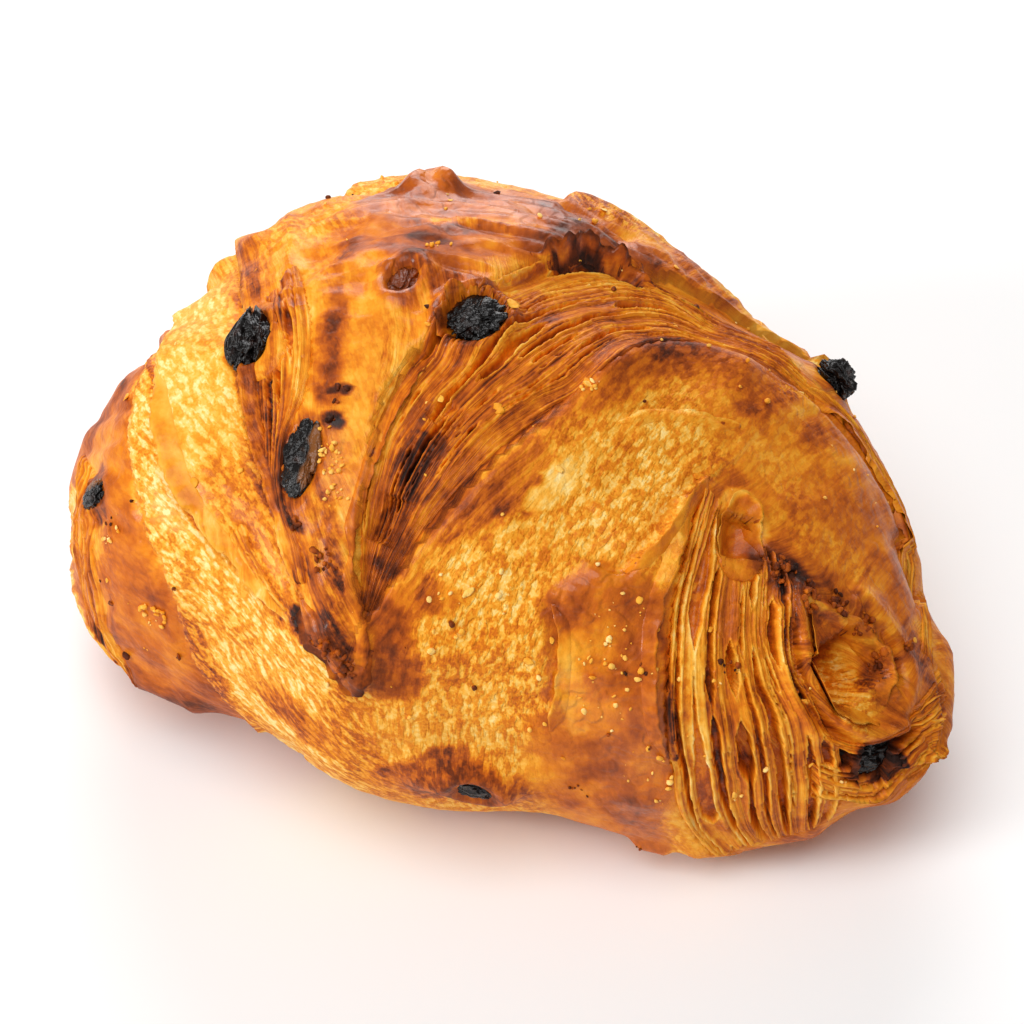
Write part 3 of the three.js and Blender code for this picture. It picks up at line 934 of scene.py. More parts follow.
STROKES = (
    # Far dome: glazed, lighter at its shoulder and darker below, with striped layers at its far side
    Stroke(((148, 372), (122, 398), (104, 428)), 5, 0.73, 0.85, 4, gloss=0.05),
    Stroke(((100, 448), (122, 458), (140, 474)), 4, 0.45, 0.8, 4, gloss=0.3),
    Stroke(((84, 480), (88, 520), (96, 560)), 3, 0.4, 0.7, 3, gloss=0.4),
    Stroke(((130, 560), (160, 640), (205, 700)), 9, 0.59, 0.9, 4, gloss=0.3),
    Stroke(((105, 645), (145, 686), (200, 716)), 3.6, 0.81, 0.9, 4, gloss=0.2),
    Stroke(((76, 500), (73, 560), (84, 620), (100, 655)), 2.6, 0.18, 0.9, 1, gloss=0.2, mottle=0.5, ply=0.9),
    Stroke(((88, 490), (88, 540), (96, 600), (118, 668)), 0.4, 0.58, 0.9, 0.5, ply=0.8),
    Stroke(((98, 505), (99, 560), (108, 620), (124, 672)), 1.0, 0.34, 0.9, 0.8, ply=0.8),
    Stroke(((110, 520), (112, 580), (122, 650)), 0.4, 0.6, 0.8, 0.5, ply=0.6),
    Stroke(((95, 480), (100, 498), (97, 510)), 1.6, 0.8, 0.8, 1.0, scorch=0.4),
    # Pale band over the dome, browner near its lower edge and under the tongue's tip
    Stroke(((150, 380), (150, 440), (165, 510), (205, 600)), 3, 0.16, 0.6, 3, mottle=1.0),
    Stroke(((262, 722), (320, 762), (380, 792)), 2.5, 0.5, 0.7, 3),
    Stroke(((240, 640), (300, 690), (330, 720)), 4, 0.33, 0.6, 4, mottle=1.0),
    Stroke(((278, 696), (302, 722), (330, 745)), 2.4, 0.62, 0.85, 2, mottle=0.6, ply=0.4),
    Stroke(((352, 700), (352, 735), (365, 765)), 2.4, 0.56, 0.7, 2.5),
    # Second band behind the thin lip: pale above, orange and speckled below
    Stroke(((174, 430), (188, 478), (214, 525)), 1.1, 0.64, 0.9, 0.8, gloss=0.5, mottle=0.1),
    Stroke(((210, 520), (245, 565), (300, 625)), 1.6, 0.42, 0.8, 1.2, mottle=0.2, ply=0.9),
    Stroke(((190, 330), (215, 380), (235, 440)), 7, 0.2, 0.7, 4, mottle=0.7),
    Stroke(((240, 490), (258, 535), (290, 600)), 3.2, 0.5, 0.8, 4, mottle=0.8),
    Stroke(((214, 475), (230, 515), (262, 570)), 1.4, 0.52, 0.5, 2),
    # Left side of the tongue: fine layers that run down to its tip
    Stroke(
        ((262, 245), (268, 320), (285, 430), (310, 540), (335, 600)),
        3.4, 0.57, 0.9, 1.5, gloss=0.2, ply=1.0,
    ),
    Stroke(((255, 300), (262, 380), (275, 470)), 0.8, 0.56, 0.8, 0.8, ply=0.8),
    Stroke(((250, 372), (258, 398), (268, 445), (280, 500)), 1.6, 0.68, 0.85, 1.2, ply=0.6),
    Stroke(((290, 222), (292, 270), (300, 330), (318, 400)), 0.8, 0.6, 0.7, 1.0),
    Stroke(((300, 330), (318, 440), (340, 540)), 1.2, 0.3, 0.7, 1.2, gloss=0.5, ply=0.6),
    # Mottled shoulder at the top left of the tongue
    Stroke(((300, 230), (340, 215), (385, 200)), 5, 0.38, 0.85, 4, gloss=0.1, mottle=0.7, ply=0.0),
    Stroke(((320, 285), (340, 250), (375, 225)), 3, 0.42, 0.6, 3, gloss=0.15, mottle=0.4, ply=0.0),
    # Glazed top of the tongue
    Stroke(
        ((405, 200), (470, 198), (540, 208), (610, 228)), 6, 0.66, 0.95, 4, gloss=0.9, mottle=0.0, ply=0.0
    ),
    Stroke(
        ((380, 240), (430, 254), (500, 249), (560, 252)),
        4.6, 0.59, 0.95, 2.4, gloss=0.12, mottle=0.0, ply=0.0,
    ),
    Stroke(((400, 222), (450, 235), (500, 228), (560, 236)), 1.0, 0.76, 0.8, 1.2, gloss=0.7),
    Stroke(((420, 246), (460, 254), (500, 242), (540, 246)), 0.6, 0.74, 0.7, 1.0),
    Stroke(((470, 252), (510, 244), (552, 250)), 0.9, 0.44, 0.8, 1.2, gloss=0.4),
    Stroke(((380, 268), (430, 280), (470, 284)), 1.6, 0.76, 0.7, 1.4, gloss=0.5),
    Stroke(((358, 250), (352, 300), (340, 350), (336, 400)), 1.8, 0.74, 0.85, 1.6, gloss=0.4, ply=0.0),
    Stroke(((342, 330), (338, 362), (336, 392)), 0.9, 0.84, 0.8, 1.0, gloss=0.8),
    Stroke(
        ((372, 290), (380, 340), (372, 400), (362, 450)), 3.0, 0.4, 0.9, 2.5, gloss=0.3, mottle=0.3, ply=0.0
    ),
    Stroke(((405, 330), (392, 390), (372, 450)), 1.4, 0.42, 0.7, 1.2, ply=0.9),
    Stroke(((392, 290), (412, 290), (408, 310)), 1.4, 0.72, 0.9, 1.2, gloss=1.0),
    Stroke(((424, 300), (440, 322), (452, 345)), 1.4, 0.46, 0.7, 1.2, gloss=0.7),
    Stroke(((448, 300), (478, 296), (500, 318)), 1.6, 0.74, 0.8, 1.6, gloss=0.7),
    # Scorched spots, crumbly patch and burnt tip of the tongue
    Stroke(((334, 396), (350, 395)), 0.5, 0.95, 0.9, 0.5, scorch=0.7),
    Stroke(((338, 424), (339, 426)), 1.1, 1.0, 0.95, 1.4, scorch=0.8),
    Stroke(((316, 440), (335, 455), (345, 480)), 2.2, 0.5, 0.8, 1.6, scorch=0.1),
    Stroke(((328, 510), (338, 545), (348, 590)), 1.9, 0.68, 0.9, 1.2, gloss=0.2, mottle=0.6, scorch=0.2),
    Stroke(((352, 520), (362, 590), (370, 640)), 1.0, 0.32, 0.8, 0.9, mottle=0.3, ply=0.6),
    Stroke(((300, 522), (308, 530)), 0.6, 0.9, 0.8, 0.6, scorch=0.6),
    Stroke(((318, 626), (340, 640), (360, 664)), 3.2, 0.74, 0.95, 0.8, gloss=0.45, mottle=0.5, scorch=0.3),
    Stroke(((336, 654), (350, 670), (362, 678)), 1.4, 0.84, 0.8, 1.0, scorch=0.4),
    Stroke(((301, 608), (304, 622), (303, 632)), 0.5, 0.95, 0.9, 0.5, scorch=0.6),
    # Main fan: purple-brown stretches between golden ones
    # Darker gaps along the fan's foot by the pinch: painted shade, with a little scorch
    Stroke(((374, 590), (384, 520), (400, 450), (432, 385)), 0.9, 0.7, 0.75, 1.2),
    Stroke(((392, 560), (404, 505), (428, 450)), 2.0, 0.92, 0.88, 1.4, scorch=0.1),
    Stroke(((425, 530), (450, 480), (490, 435)), 1.8, 0.5, 0.5, 2.0),
    Stroke(((480, 320), (540, 300), (620, 292), (690, 310)), 2.0, 0.62, 0.6, 1.6),
    Stroke(((500, 275), (560, 262), (640, 262), (720, 300)), 2.4, 0.42, 0.7, 2.0, ply=1.0),
    Stroke(((500, 345), (560, 335), (620, 325)), 2.0, 0.38, 0.6, 1.6),
    Stroke(((540, 240), (600, 226), (650, 244), (700, 280)), 2.0, 0.74, 0.8, 1.6, gloss=0.7),
    # Painted shadow in the torn gap under the overhanging edge, with some scorch speckle
    Stroke(((558, 250), (590, 243), (622, 248), (656, 262)), 0.8, 0.94, 0.9, 0.6, gloss=0.1, scorch=0.3),
    Stroke(((600, 212), (680, 252), (745, 305), (790, 352)), 4.5, 0.62, 0.9, 3, gloss=0.5, ply=0.5),
    Stroke(((640, 300), (700, 318), (745, 345)), 2.4, 0.5, 0.6, 2.0, ply=0.8),
    # Brown swelling beside the fan
    Stroke(
        ((590, 392), (630, 362), (690, 345), (745, 362)), 4.2, 0.62, 0.9, 3, gloss=0.2, mottle=0.3, ply=0.3
    ),
    Stroke(((655, 352), (690, 345), (715, 352)), 1.6, 0.76, 0.7, 1.8),
    Stroke(((735, 385), (790, 395), (830, 420)), 3.5, 0.6, 0.8, 3, gloss=0.4),
    Stroke(((612, 418), (650, 405), (700, 408), (740, 425)), 0.8, 0.52, 0.7, 0.8),
    # Wide mottled middle
    Stroke(((430, 570), (470, 520), (530, 470)), 3.0, 0.77, 0.8, 2.5, gloss=0.3, mottle=0.15, ply=0.8),
    Stroke(((448, 575), (486, 530), (532, 492)), 0.5, 0.4, 0.8, 0.6),
    Stroke(((520, 440), (570, 420), (620, 420)), 1.8, 0.58, 0.6, 2.0, mottle=0.4),
    Stroke(((545, 500), (565, 475), (590, 450)), 1.8, 0.12, 0.9, 1.0, mottle=0.3),
    Stroke(((600, 450), (650, 440), (700, 445)), 4, 0.4, 0.7, 3, mottle=0.8),
    Stroke(((575, 525), (600, 515), (660, 480)), 3, 0.28, 0.75, 3, mottle=0.9),
    Stroke(((480, 590), (520, 620), (545, 680)), 6, 0.34, 0.7, 5, mottle=1.0),
    Stroke(((400, 700), (440, 680), (500, 720)), 6, 0.36, 0.6, 5, mottle=0.9),
    # Darker dough right of the tongue's tip, by the pinch: painted shade
    Stroke(((380, 615), (390, 645), (396, 680)), 2.2, 0.76, 0.85, 3.0, gloss=0.1, mottle=0.15),
    Stroke(((384, 602), (412, 602), (440, 596)), 1.6, 0.7, 0.7, 2.4, mottle=0.15),
    Stroke(((420, 780), (450, 772), (500, 790)), 4.2, 0.75, 0.9, 2.2, gloss=0.3, mottle=0.5),
    Stroke(((395, 790), (360, 778)), 2.0, 0.46, 0.6, 2.0),
    Stroke(((520, 800), (560, 810)), 3.0, 0.5, 0.7, 3.0),
    # Glossy brown crust to the right of the crease
    Stroke(
        ((596, 622), (605, 670), (600, 760), (620, 830)),
        6.2, 0.61, 0.95, 2.5, gloss=0.8, mottle=0.1, ply=0.0,
    ),
    Stroke(((640, 600), (640, 700), (655, 800)), 3.2, 0.63, 0.9, 1.5, gloss=0.75, mottle=0.1, ply=0.0),
    Stroke(((565, 740), (570, 800), (600, 835)), 4.0, 0.55, 0.8, 3.0, gloss=0.2, mottle=0.1, ply=0.0),
    Stroke(((556, 610), (560, 650), (557, 690)), 0.6, 0.7, 0.8, 1.0),
    # Pale glossy streak: a painted highlight on the glossy crust
    Stroke(((576, 650), (572, 690), (580, 720)), 1.4, 0.32, 0.85, 1.6, gloss=1.0),
    Stroke(((600, 640), (606, 680), (600, 710)), 2.4, 0.52, 0.6, 2.4, gloss=0.9),
    Stroke(((620, 600), (630, 640), (626, 690)), 1.4, 0.7, 0.6, 1.8),
    Stroke(((600, 750), (612, 790), (640, 820)), 2.0, 0.7, 0.6, 2.4),
    # Cut end: pale strip, then browner layers towards the hollow
    Stroke(((688, 590), (684, 680), (692, 790)), 1.5, 0.38, 0.9, 1.0, mottle=0.6, gloss=0.3),
    Stroke(((704, 600), (700, 700), (712, 800)), 1.1, 0.33, 0.9, 1.0, mottle=0.2),
    Stroke(((666, 640), (668, 700), (676, 760)), 0.5, 0.84, 0.9, 0.5),
    Stroke(((690, 805), (712, 838), (760, 848)), 2.5, 0.41, 0.85, 2.0, mottle=0.3),
    Stroke(((724, 600), (722, 680), (740, 780)), 2.0, 0.6, 0.6, 1.6, ply=1.0),
    Stroke(((760, 580), (762, 660), (790, 740)), 3.0, 0.45, 0.7, 2.0, ply=1.0),
    Stroke(((741, 518), (741, 558)), 3.0, 0.56, 0.95, 1.0, gloss=0.4, mottle=0.2, ply=0.0),
    Stroke(((717, 550), (718, 515), (736, 492), (760, 508), (766, 545)), 0.5, 0.32, 0.9, 0.5, ply=0.0),
    # Crisp edges of the thin lip and of the tongue's left side, each with a painted shadow line under it
    Stroke(((150, 345), (158, 395), (165, 450), (186, 505), (232, 560), (280, 618)), 0.3, 0.7, 0.8, 0.5),
    Stroke(
        ((156, 340), (164, 395), (171, 448), (192, 500), (238, 555), (288, 614)),
        0.4, 0.42, 0.9, 0.5, gloss=0.5,
    ),
    Stroke(((240, 330), (248, 430), (266, 495), (296, 590)), 0.3, 0.66, 0.4, 0.5),
    Stroke(((216, 262), (232, 300), (243, 350)), 0.8, 0.5, 0.6, 1.0),
    # Smooth crust over the cut end
    Stroke(((750, 420), (790, 460), (830, 520)), 6, 0.54, 0.9, 4, gloss=0.35, mottle=0.3, ply=0.2),
    Stroke(((720, 395), (765, 405), (800, 440)), 3.0, 0.6, 0.7, 3, mottle=0.4),
    Stroke(((735, 430), (765, 455), (790, 490)), 1.6, 0.46, 0.7, 2, mottle=0.5),
    Stroke(((790, 520), (815, 545), (850, 560)), 1.6, 0.45, 0.7, 2, mottle=0.5),
    Stroke(((825, 440), (850, 480), (868, 530)), 1.2, 0.46, 0.6, 2, mottle=0.4),
    Stroke(((770, 505), (795, 500), (815, 520)), 1.4, 0.68, 0.6, 1.6),
    Stroke(((745, 400), (790, 405), (815, 440)), 1.4, 0.68, 0.6, 1.6),
    Stroke(((870, 570), (900, 600), (925, 640)), 1.6, 0.46, 0.6, 2, mottle=0.4),
    Stroke(((850, 450), (880, 520), (895, 590)), 4, 0.57, 0.9, 3, gloss=0.8, mottle=0.1, ply=0.3),
    Stroke(((770, 470), (800, 500), (810, 545)), 3, 0.48, 0.6, 3, gloss=0.4),
    Stroke(((780, 430), (800, 415), (825, 418)), 1.4, 0.44, 0.6, 1.4),
    Stroke(((860, 560), (880, 590), (905, 610)), 3, 0.6, 0.8, 3, gloss=0.5),
    # Burnt ring and the coil's hollow
    Stroke(((765, 560), (795, 585), (825, 612)), 2.0, 0.73, 0.9, 1.6, scorch=0.35),
    Stroke(((826, 592), (862, 622), (886, 660)), 1.6, 0.72, 0.9, 1.4, scorch=0.3),
    # Inside the coil's hollow: the lighter lower right is painted light, and the darker upper left side is
    # painted shade
    Stroke(((828, 648), (842, 672), (858, 700)), 3.2, 0.33, 0.9, 2.0, gloss=0.15, mottle=1.0, ply=0.0),
    Stroke(((812, 606), (822, 624), (836, 640)), 2.0, 0.74, 0.85, 1.8, mottle=0.2, ply=0.3),
    Stroke(((810, 610), (816, 650), (830, 690)), 0.9, 0.78, 0.85, 1.2),
    Stroke(((872, 648), (884, 672), (880, 698)), 1.4, 0.88, 0.85, 1.0, scorch=0.3),
    Stroke(((806, 602), (842, 620), (876, 652)), 0.35, 0.36, 0.85, 0.5),
    Stroke(COIL_RING, 1.3, 0.62, 0.9, 0.6, ply=0.8),
    Stroke(((802, 600), (808, 645), (822, 690), (846, 720), (878, 730)), 0.35, 0.36, 0.85, 0.4),
    Stroke(COIL_GROOVE, 0.4, 0.8, 0.85, 0.5),
    Stroke(COIL_SLIT, 0.5, 0.78, 0.8, 0.6),
    Stroke(((905, 640), (925, 665), (935, 690)), 2.4, 0.72, 0.8, 2.4, scorch=0.2),
    Stroke(((880, 740), (930, 725), (950, 700)), 5.0, 0.52, 0.8, 3.0, ply=0.2),
    Stroke(((820, 790), (870, 800), (920, 780)), 4.0, 0.5, 0.8, 3.0, ply=0.2),
    Stroke(((862, 768), (892, 766)), 2.4, 0.97, 0.95, 1.0, gloss=0.1, ply=0.0),
)


class Finish(Enum):
    """The finishes that the pieces wear."""

    CRUST = "crust"
    LAYER = "flaky_layer"
    CRUMB = "crumb"
    RAISIN = "raisin"
    GLAZED_RAISIN = "glazed_raisin"
    FLOOR = "floor"


class Graph:
    """A short way to add and join shader nodes."""

    def __init__(self, tree: bpy.types.NodeTree) -> None:
        """Wraps a node tree."""
        self.tree = tree

    def add(self, kind: str, inputs: dict | None = None, **settings: object) -> bpy.types.Node:
        """Adds a node.

        Args:
            kind: Blender's node type.
            inputs: Socket name or index to a constant or to an output socket to join.
            **settings: Properties of the node.

        Returns:
            The new node.
        """
        node = self.tree.nodes.new(kind)
        for name, value in settings.items():
            setattr(node, name, value)
        for name, value in (inputs or {}).items():
            socket = node.inputs[name]
            if isinstance(value, bpy.types.NodeSocket):
                self.tree.links.new(value, socket)
            else:
                socket.default_value = value
        return node

    def math(self, operation: str, a: object, b: object = 0.0) -> bpy.types.NodeSocket:
        """Result of a maths node on two numbers or sockets."""
        return self.add("ShaderNodeMath", {0: a, 1: b}, operation=operation).outputs[0]

    def attribute(self, name: str, vector: bool = False) -> bpy.types.NodeSocket:
        """A number or a vector that the mesh carries."""
        node = self.add("ShaderNodeAttribute", attribute_name=name)
        return node.outputs["Vector" if vector else "Fac"]

    def step(self, value: object, low: float, high: float) -> bpy.types.NodeSocket:
        """Smooth step of a value from 0 at low to 1 at high."""
        inputs = {"Value": value, "From Min": low, "From Max": high}
        node = self.add("ShaderNodeMapRange", inputs, interpolation_type="SMOOTHSTEP", clamp=True)
        return node.outputs["Result"]

    def mix(self, share: object, a: object, b: object) -> bpy.types.NodeSocket:
        """Blend of two numbers."""
        return self.add("ShaderNodeMix", {"Factor": share, 2: a, 3: b}, data_type="FLOAT").outputs[0]

    def blend(self, share: object, a: object, b: object) -> bpy.types.NodeSocket:
        """Blend of two colours."""
        return self.add("ShaderNodeMix", {"Factor": share, 6: a, 7: b}, data_type="RGBA").outputs[2]

    def excess(self, a: object, b: object, share: object) -> bpy.types.NodeSocket:
        """How much a lies above b, times a share."""
        return self.math("MULTIPLY", self.math("SUBTRACT", a, b), share)

    def cells(self, vector: object, per_unit: float) -> bpy.types.NodeSocket:
        """Distance from the middle of the nearest one of many uneven cells, over two coordinates."""
        inputs = {"Vector": vector, "Scale": per_unit}
        return self.add("ShaderNodeTexVoronoi", inputs, voronoi_dimensions="2D").outputs["Distance"]

    def noise(
        self, vector: object, per_unit: float, detail: float, rough: float, sides: str = "3D"
    ) -> bpy.types.NodeSocket:
        """Noise from 0 to 1, over three coordinates or over two of them."""
        inputs = {"Vector": vector, "Scale": per_unit, "Detail": detail, "Roughness": rough}
        return self.add("ShaderNodeTexNoise", inputs, noise_dimensions=sides).outputs["Fac"]


def srgb(red: int, green: int, blue: int) -> tuple[float, float, float, float]:
    """Linear colour of screen values from 0 to 255."""
    linear = []
    for value in (red / 255, green / 255, blue / 255):
        linear.append(value / 12.92 if value <= 0.04045 else ((value + 0.055) / 1.055) ** 2.4)
    return (*linear, 1.0)


BAKE_COLOURS = (
    (0.00, srgb(255, 224, 150)),
    (0.12, srgb(253, 202, 104)),
    (0.25, srgb(248, 178, 62)),
    (0.38, srgb(239, 154, 34)),
    (0.50, srgb(224, 127, 18)),
    (0.62, srgb(200, 100, 14)),
    (0.74, srgb(162, 72, 13)),
    (0.86, srgb(104, 43, 12)),
    (1.00, srgb(38, 18, 11)),
)
SCORCHED = srgb(62, 32, 20)


def baked_dough_group() -> bpy.types.NodeTree:
    """Node group that turns the mesh's looks into colour, roughness and relief.

    Returns:
        The group, with inputs Grain and Blisters and outputs Colour, Roughness and Relief.
    """
    tree = bpy.data.node_groups.new("baked_dough", "ShaderNodeTree")
    for name in ("Grain", "Blisters"):
        tree.interface.new_socket(name=name, in_out="INPUT", socket_type="NodeSocketFloat")
    tree.interface.new_socket(name="Colour", in_out="OUTPUT", socket_type="NodeSocketColor")
    for name in ("Roughness", "Relief"):
        tree.interface.new_socket(name=name, in_out="OUTPUT", socket_type="NodeSocketFloat")
    graph = Graph(tree)
    given = graph.add("NodeGroupInput").outputs
    mottle, ply = graph.attribute("mottle"), graph.attribute("ply")
    scorch, gloss = graph.attribute("scorch"), graph.attribute("gloss")
    here = graph.add("ShaderNodeTexCoord").outputs["Object"]

    round_flow, band_flow = graph.attribute("flow_round", True), graph.attribute("flow_band", True)
    turn = graph.attribute("turn")
    blisters, streaks = (
        graph.mix(turn, *(graph.noise(flow, size, 2.5, 0.6, "2D") for flow in (round_flow, band_flow)))
        for size in (1.0, 0.28)
    )
    cells = graph.mix(turn, graph.cells(round_flow, 0.95), graph.cells(band_flow, 0.95))
    raised = graph.math("ADD", blisters, graph.excess(0.45, cells, 0.45))
    pale = graph.step(raised, 0.42, 0.66)
    layers = graph.noise(graph.attribute("ply_flow", True), 1.0, 3.0, 0.65, "2D")
    grain = graph.noise(here, 1700.0, 1.0, 0.6)
    speckle = graph.noise(here, 620.0, 2.0, 0.65)
    spots = graph.step(grain, 0.4, 0.62)
    cloud = graph.mix(0.3, graph.noise(here, 120.0, 3.0, 0.65), streaks)
    clouding = graph.math("SUBTRACT", 1.0, graph.math("MULTIPLY", mottle, 0.3))
    creases = graph.math("ABSOLUTE", graph.math("SUBTRACT", graph.noise(here, 230.0, 1.5, 0.55), 0.5))
    creases = graph.math("MULTIPLY", graph.step(creases, 0.0, 0.09), gloss)

    blister_depth = graph.math("MULTIPLY", mottle, given["Blisters"])
    shifts = (
        graph.excess(0.42, pale, blister_depth),
        graph.excess(0.4, spots, graph.math("MULTIPLY", blister_depth, 0.55)),
        graph.excess(speckle, 0.5, given["Grain"]),
        graph.excess(grain, 0.5, graph.math("MULTIPLY", given["Grain"], 0.8)),
        graph.excess(cloud, 0.5, clouding),
        graph.excess(layers, 0.5, graph.math("MULTIPLY", ply, 0.75)),
    )
    total = graph.attribute("bake")
    for shift in shifts:
        total = graph.math("ADD", total, shift)

    ramp = graph.add("ShaderNodeValToRGB", {"Fac": total})
    stops = ramp.color_ramp.elements
    while len(stops) < len(BAKE_COLOURS):
        stops.new(0.5)
    for stop, (position, colour) in zip(stops, BAKE_COLOURS):
        stop.position = position
        stop.color = colour
    burnt = graph.math("MULTIPLY", scorch, graph.step(speckle, 0.35, 0.6))
    colour = graph.blend(burnt, ramp.outputs["Color"], SCORCHED)

    rough = graph.math("SUBTRACT", 0.64, graph.math("MULTIPLY", gloss, 0.26))
    rough = graph.math("ADD", rough, graph.excess(speckle, 0.5, 0.25))
    relief = graph.math("MULTIPLY", graph.step(blisters, 0.4, 0.6), graph.math("MULTIPLY", mottle, 0.55))
    for part, share in ((grain, 0.45), (creases, 1.0)):
        relief = graph.math("ADD", relief, graph.math("MULTIPLY", part, share))
    relief = graph.math("ADD", relief, graph.math("MULTIPLY", layers, graph.math("MULTIPLY", ply, 1.6)))
    graph.add("NodeGroupOutput", {"Colour": colour, "Roughness": rough, "Relief": relief})
    return tree


def new_material(name: str) -> tuple[bpy.types.Material, Graph, bpy.types.Node]:
    """A new material with its graph and its shader."""
    made = bpy.data.materials.new(name)
    made.use_nodes = True
    return made, Graph(made.node_tree), made.node_tree.nodes["Principled BSDF"]


@dataclass(frozen=True)
class DoughFinish:
    """Finish of baked dough: how grainy, blistered and glazed it is."""

    name: str
    grain: float = 0.1
    blisters: float = 0.3
    glaze: float = 0.5
    glaze_roughness: float = 0.15
    relief_m: float = 0.0003

    def material(self, group: bpy.types.NodeTree) -> bpy.types.Material:
        """Material that reads the looks that a piece carries.

        Args:
            group: The shared baked dough group.

        Returns:
            The material.
        """
        made, graph, shader = new_material(self.name)
        dough = graph.add("ShaderNodeGroup", node_tree=group)
        dough.inputs["Grain"].default_value = self.grain
        dough.inputs["Blisters"].default_value = self.blisters
        bump = graph.add(
            "ShaderNodeBump",
            {"Strength": 0.8, "Distance": self.relief_m, "Height": dough.outputs["Relief"]},
        )
        coat = graph.math("MULTIPLY", graph.attribute("gloss"), self.glaze)
        links = made.node_tree.links
        links.new(dough.outputs["Colour"], shader.inputs["Base Color"])
        links.new(dough.outputs["Roughness"], shader.inputs["Roughness"])
        links.new(coat, shader.inputs["Coat Weight"])
        links.new(bump.outputs["Normal"], shader.inputs["Normal"])
        shader.inputs["Specular IOR Level"].default_value = 0.14
        shader.inputs["Coat Roughness"].default_value = self.glaze_roughness
        return made


@dataclass(frozen=True)
class RaisinFinish:
    """Finish of a baked raisin: nearly black, with a faint warm shine, and brown where it is torn."""

    name: str = "raisin_skin"
    dark: tuple[float, float, float, float] = srgb(12, 7, 6)
    warm: tuple[float, float, float, float] = srgb(54, 26, 16)
    flesh: tuple[float, float, float, float] = srgb(168, 100, 42)
    roughness: float = 0.24

    def material(self) -> bpy.types.Material:
        """Wrinkled skin, with flesh as far as the piece carries it."""
        made, graph, shader = new_material(self.name)
        here = graph.add("ShaderNodeTexCoord").outputs["Object"]
        patches = graph.step(graph.noise(here, 420.0, 4.0, 0.6), 0.52, 0.8)
        grain = graph.noise(here, 1500.0, 3.0, 0.6)
        skin = graph.blend(patches, self.dark, self.warm)
        colour = graph.blend(graph.attribute("warm"), skin, self.flesh)
        bump = graph.add("ShaderNodeBump", {"Strength": 0.7, "Distance": 0.0003, "Height": grain})
        made.node_tree.links.new(colour, shader.inputs["Base Color"])
        made.node_tree.links.new(bump.outputs["Normal"], shader.inputs["Normal"])
        shader.inputs["Roughness"].default_value = self.roughness
        shader.inputs["Specular IOR Level"].default_value = 0.38
        return made


@dataclass(frozen=True)
class FloorFinish:
    """Plain pale floor."""

    name: str = "pale_floor"
    colour: tuple[float, float, float, float] = (0.93, 0.93, 0.93, 1.0)

    def material(self) -> bpy.types.Material:
        """Matt near-white."""
        made, _, shader = new_material(self.name)
        shader.inputs["Base Color"].default_value = self.colour
        shader.inputs["Roughness"].default_value = 0.9
        shader.inputs["Specular IOR Level"].default_value = 0.1
        return made


class Finishes:
    """Makes each material once."""

    def __init__(self) -> None:
        """Builds the shared group and the materials."""
        group = baked_dough_group()
        self.materials = {
            Finish.CRUST: DoughFinish("baked_crust").material(group),
            Finish.LAYER: DoughFinish(
                "flaky_layer", grain=0.16, blisters=0.2, glaze=0.4, relief_m=0.00022
            ).material(group),
            Finish.CRUMB: DoughFinish("loose_crumb", grain=0.25, blisters=0.1, glaze=0.1).material(group),
            Finish.RAISIN: RaisinFinish().material(),
            Finish.GLAZED_RAISIN: RaisinFinish(
                "glazed_raisin_skin", dark=srgb(112, 48, 14), warm=srgb(196, 98, 24), roughness=0.26
            ).material(),
            Finish.FLOOR: FloorFinish().material(),
        }

    def dress(self, piece: bpy.types.Object, finish: Finish) -> None:
        """Gives a piece its only material."""
        piece.data.materials.clear()
        piece.data.materials.append(self.materials[finish])


def object_from(name: str, mesh: bmesh.types.BMesh, points: np.ndarray | None = None) -> bpy.types.Object:
    """Smooth object at the origin from a mesh in mm.

    Args:
        name: Name of the object and its mesh.
        mesh: The mesh; it is freed.
        points: New places of its points in mm, where they differ from the mesh's.

    Returns:
        The object, in the scene.
    """
    data = bpy.data.meshes.new(name)
    mesh.to_mesh(data)
    mesh.free()
    if points is None:
        points = coordinates(data)
    data.vertices.foreach_set("co", (points * MM).ravel())
    data.update()
    data.shade_smooth()
    made = bpy.data.objects.new(name, data)
    bpy.context.scene.collection.objects.link(made)
    return made


def coordinates(data: bpy.types.Mesh) -> np.ndarray:
    """Places of a mesh's points, as an array (n, 3)."""
    flat = np.empty(3 * len(data.vertices))
    data.vertices.foreach_get("co", flat)
    return flat.reshape(-1, 3)


def carry(piece: bpy.types.Object, looks: dict[str, np.ndarray]) -> None:
    """Stores looks on a piece's points: plain numbers, or vectors where the array has three columns."""
    for name, values in looks.items():
        if values.ndim == 1:
            piece.data.attributes.new(name, "FLOAT", "POINT").data.foreach_set("value", values)
        else:
            layer = piece.data.attributes.new(name, "FLOAT_VECTOR", "POINT")
            layer.data.foreach_set("vector", values.ravel())


FLOW_RADIUS = 42.0


def flows(ground: Ground) -> dict[str, np.ndarray]:
    """Directions in which the dough was stretched and stacked, as coordinates for its patterns.

    Args:
        ground: The measured places.

    Returns:
        The blisters' coordinates round the roll and along the bands, their mix, and the coordinates
        across and along the stacked layers.
    """
    long_mm, short_mm, lean = 2.3, 0.95, math.radians(-34)
    radius = FLOW_RADIUS * np.sqrt(np.maximum(0.0, 1.0 - np.abs(ground.x / ROLL.half_length) ** 8))
    arc = radius * np.radians(ground.angle)
    ring = np.stack([ground.x / short_mm, arc / long_mm, np.zeros(len(arc))], axis=1)
    down_band = ground.x * math.cos(lean) + arc * math.sin(lean)
    over_band = arc * math.cos(lean) - ground.x * math.sin(lean)
    band = np.stack([down_band / long_mm, over_band / short_mm, np.zeros(len(arc))], axis=1)
    split = ground.x - (4.0 - 0.1 * ground.angle)
    looks = {"flow_round": ring, "flow_band": band, "turn": smooth(split, 6.0, -6.0)}
    return looks | {"ply_flow": ply_flow(ground)}


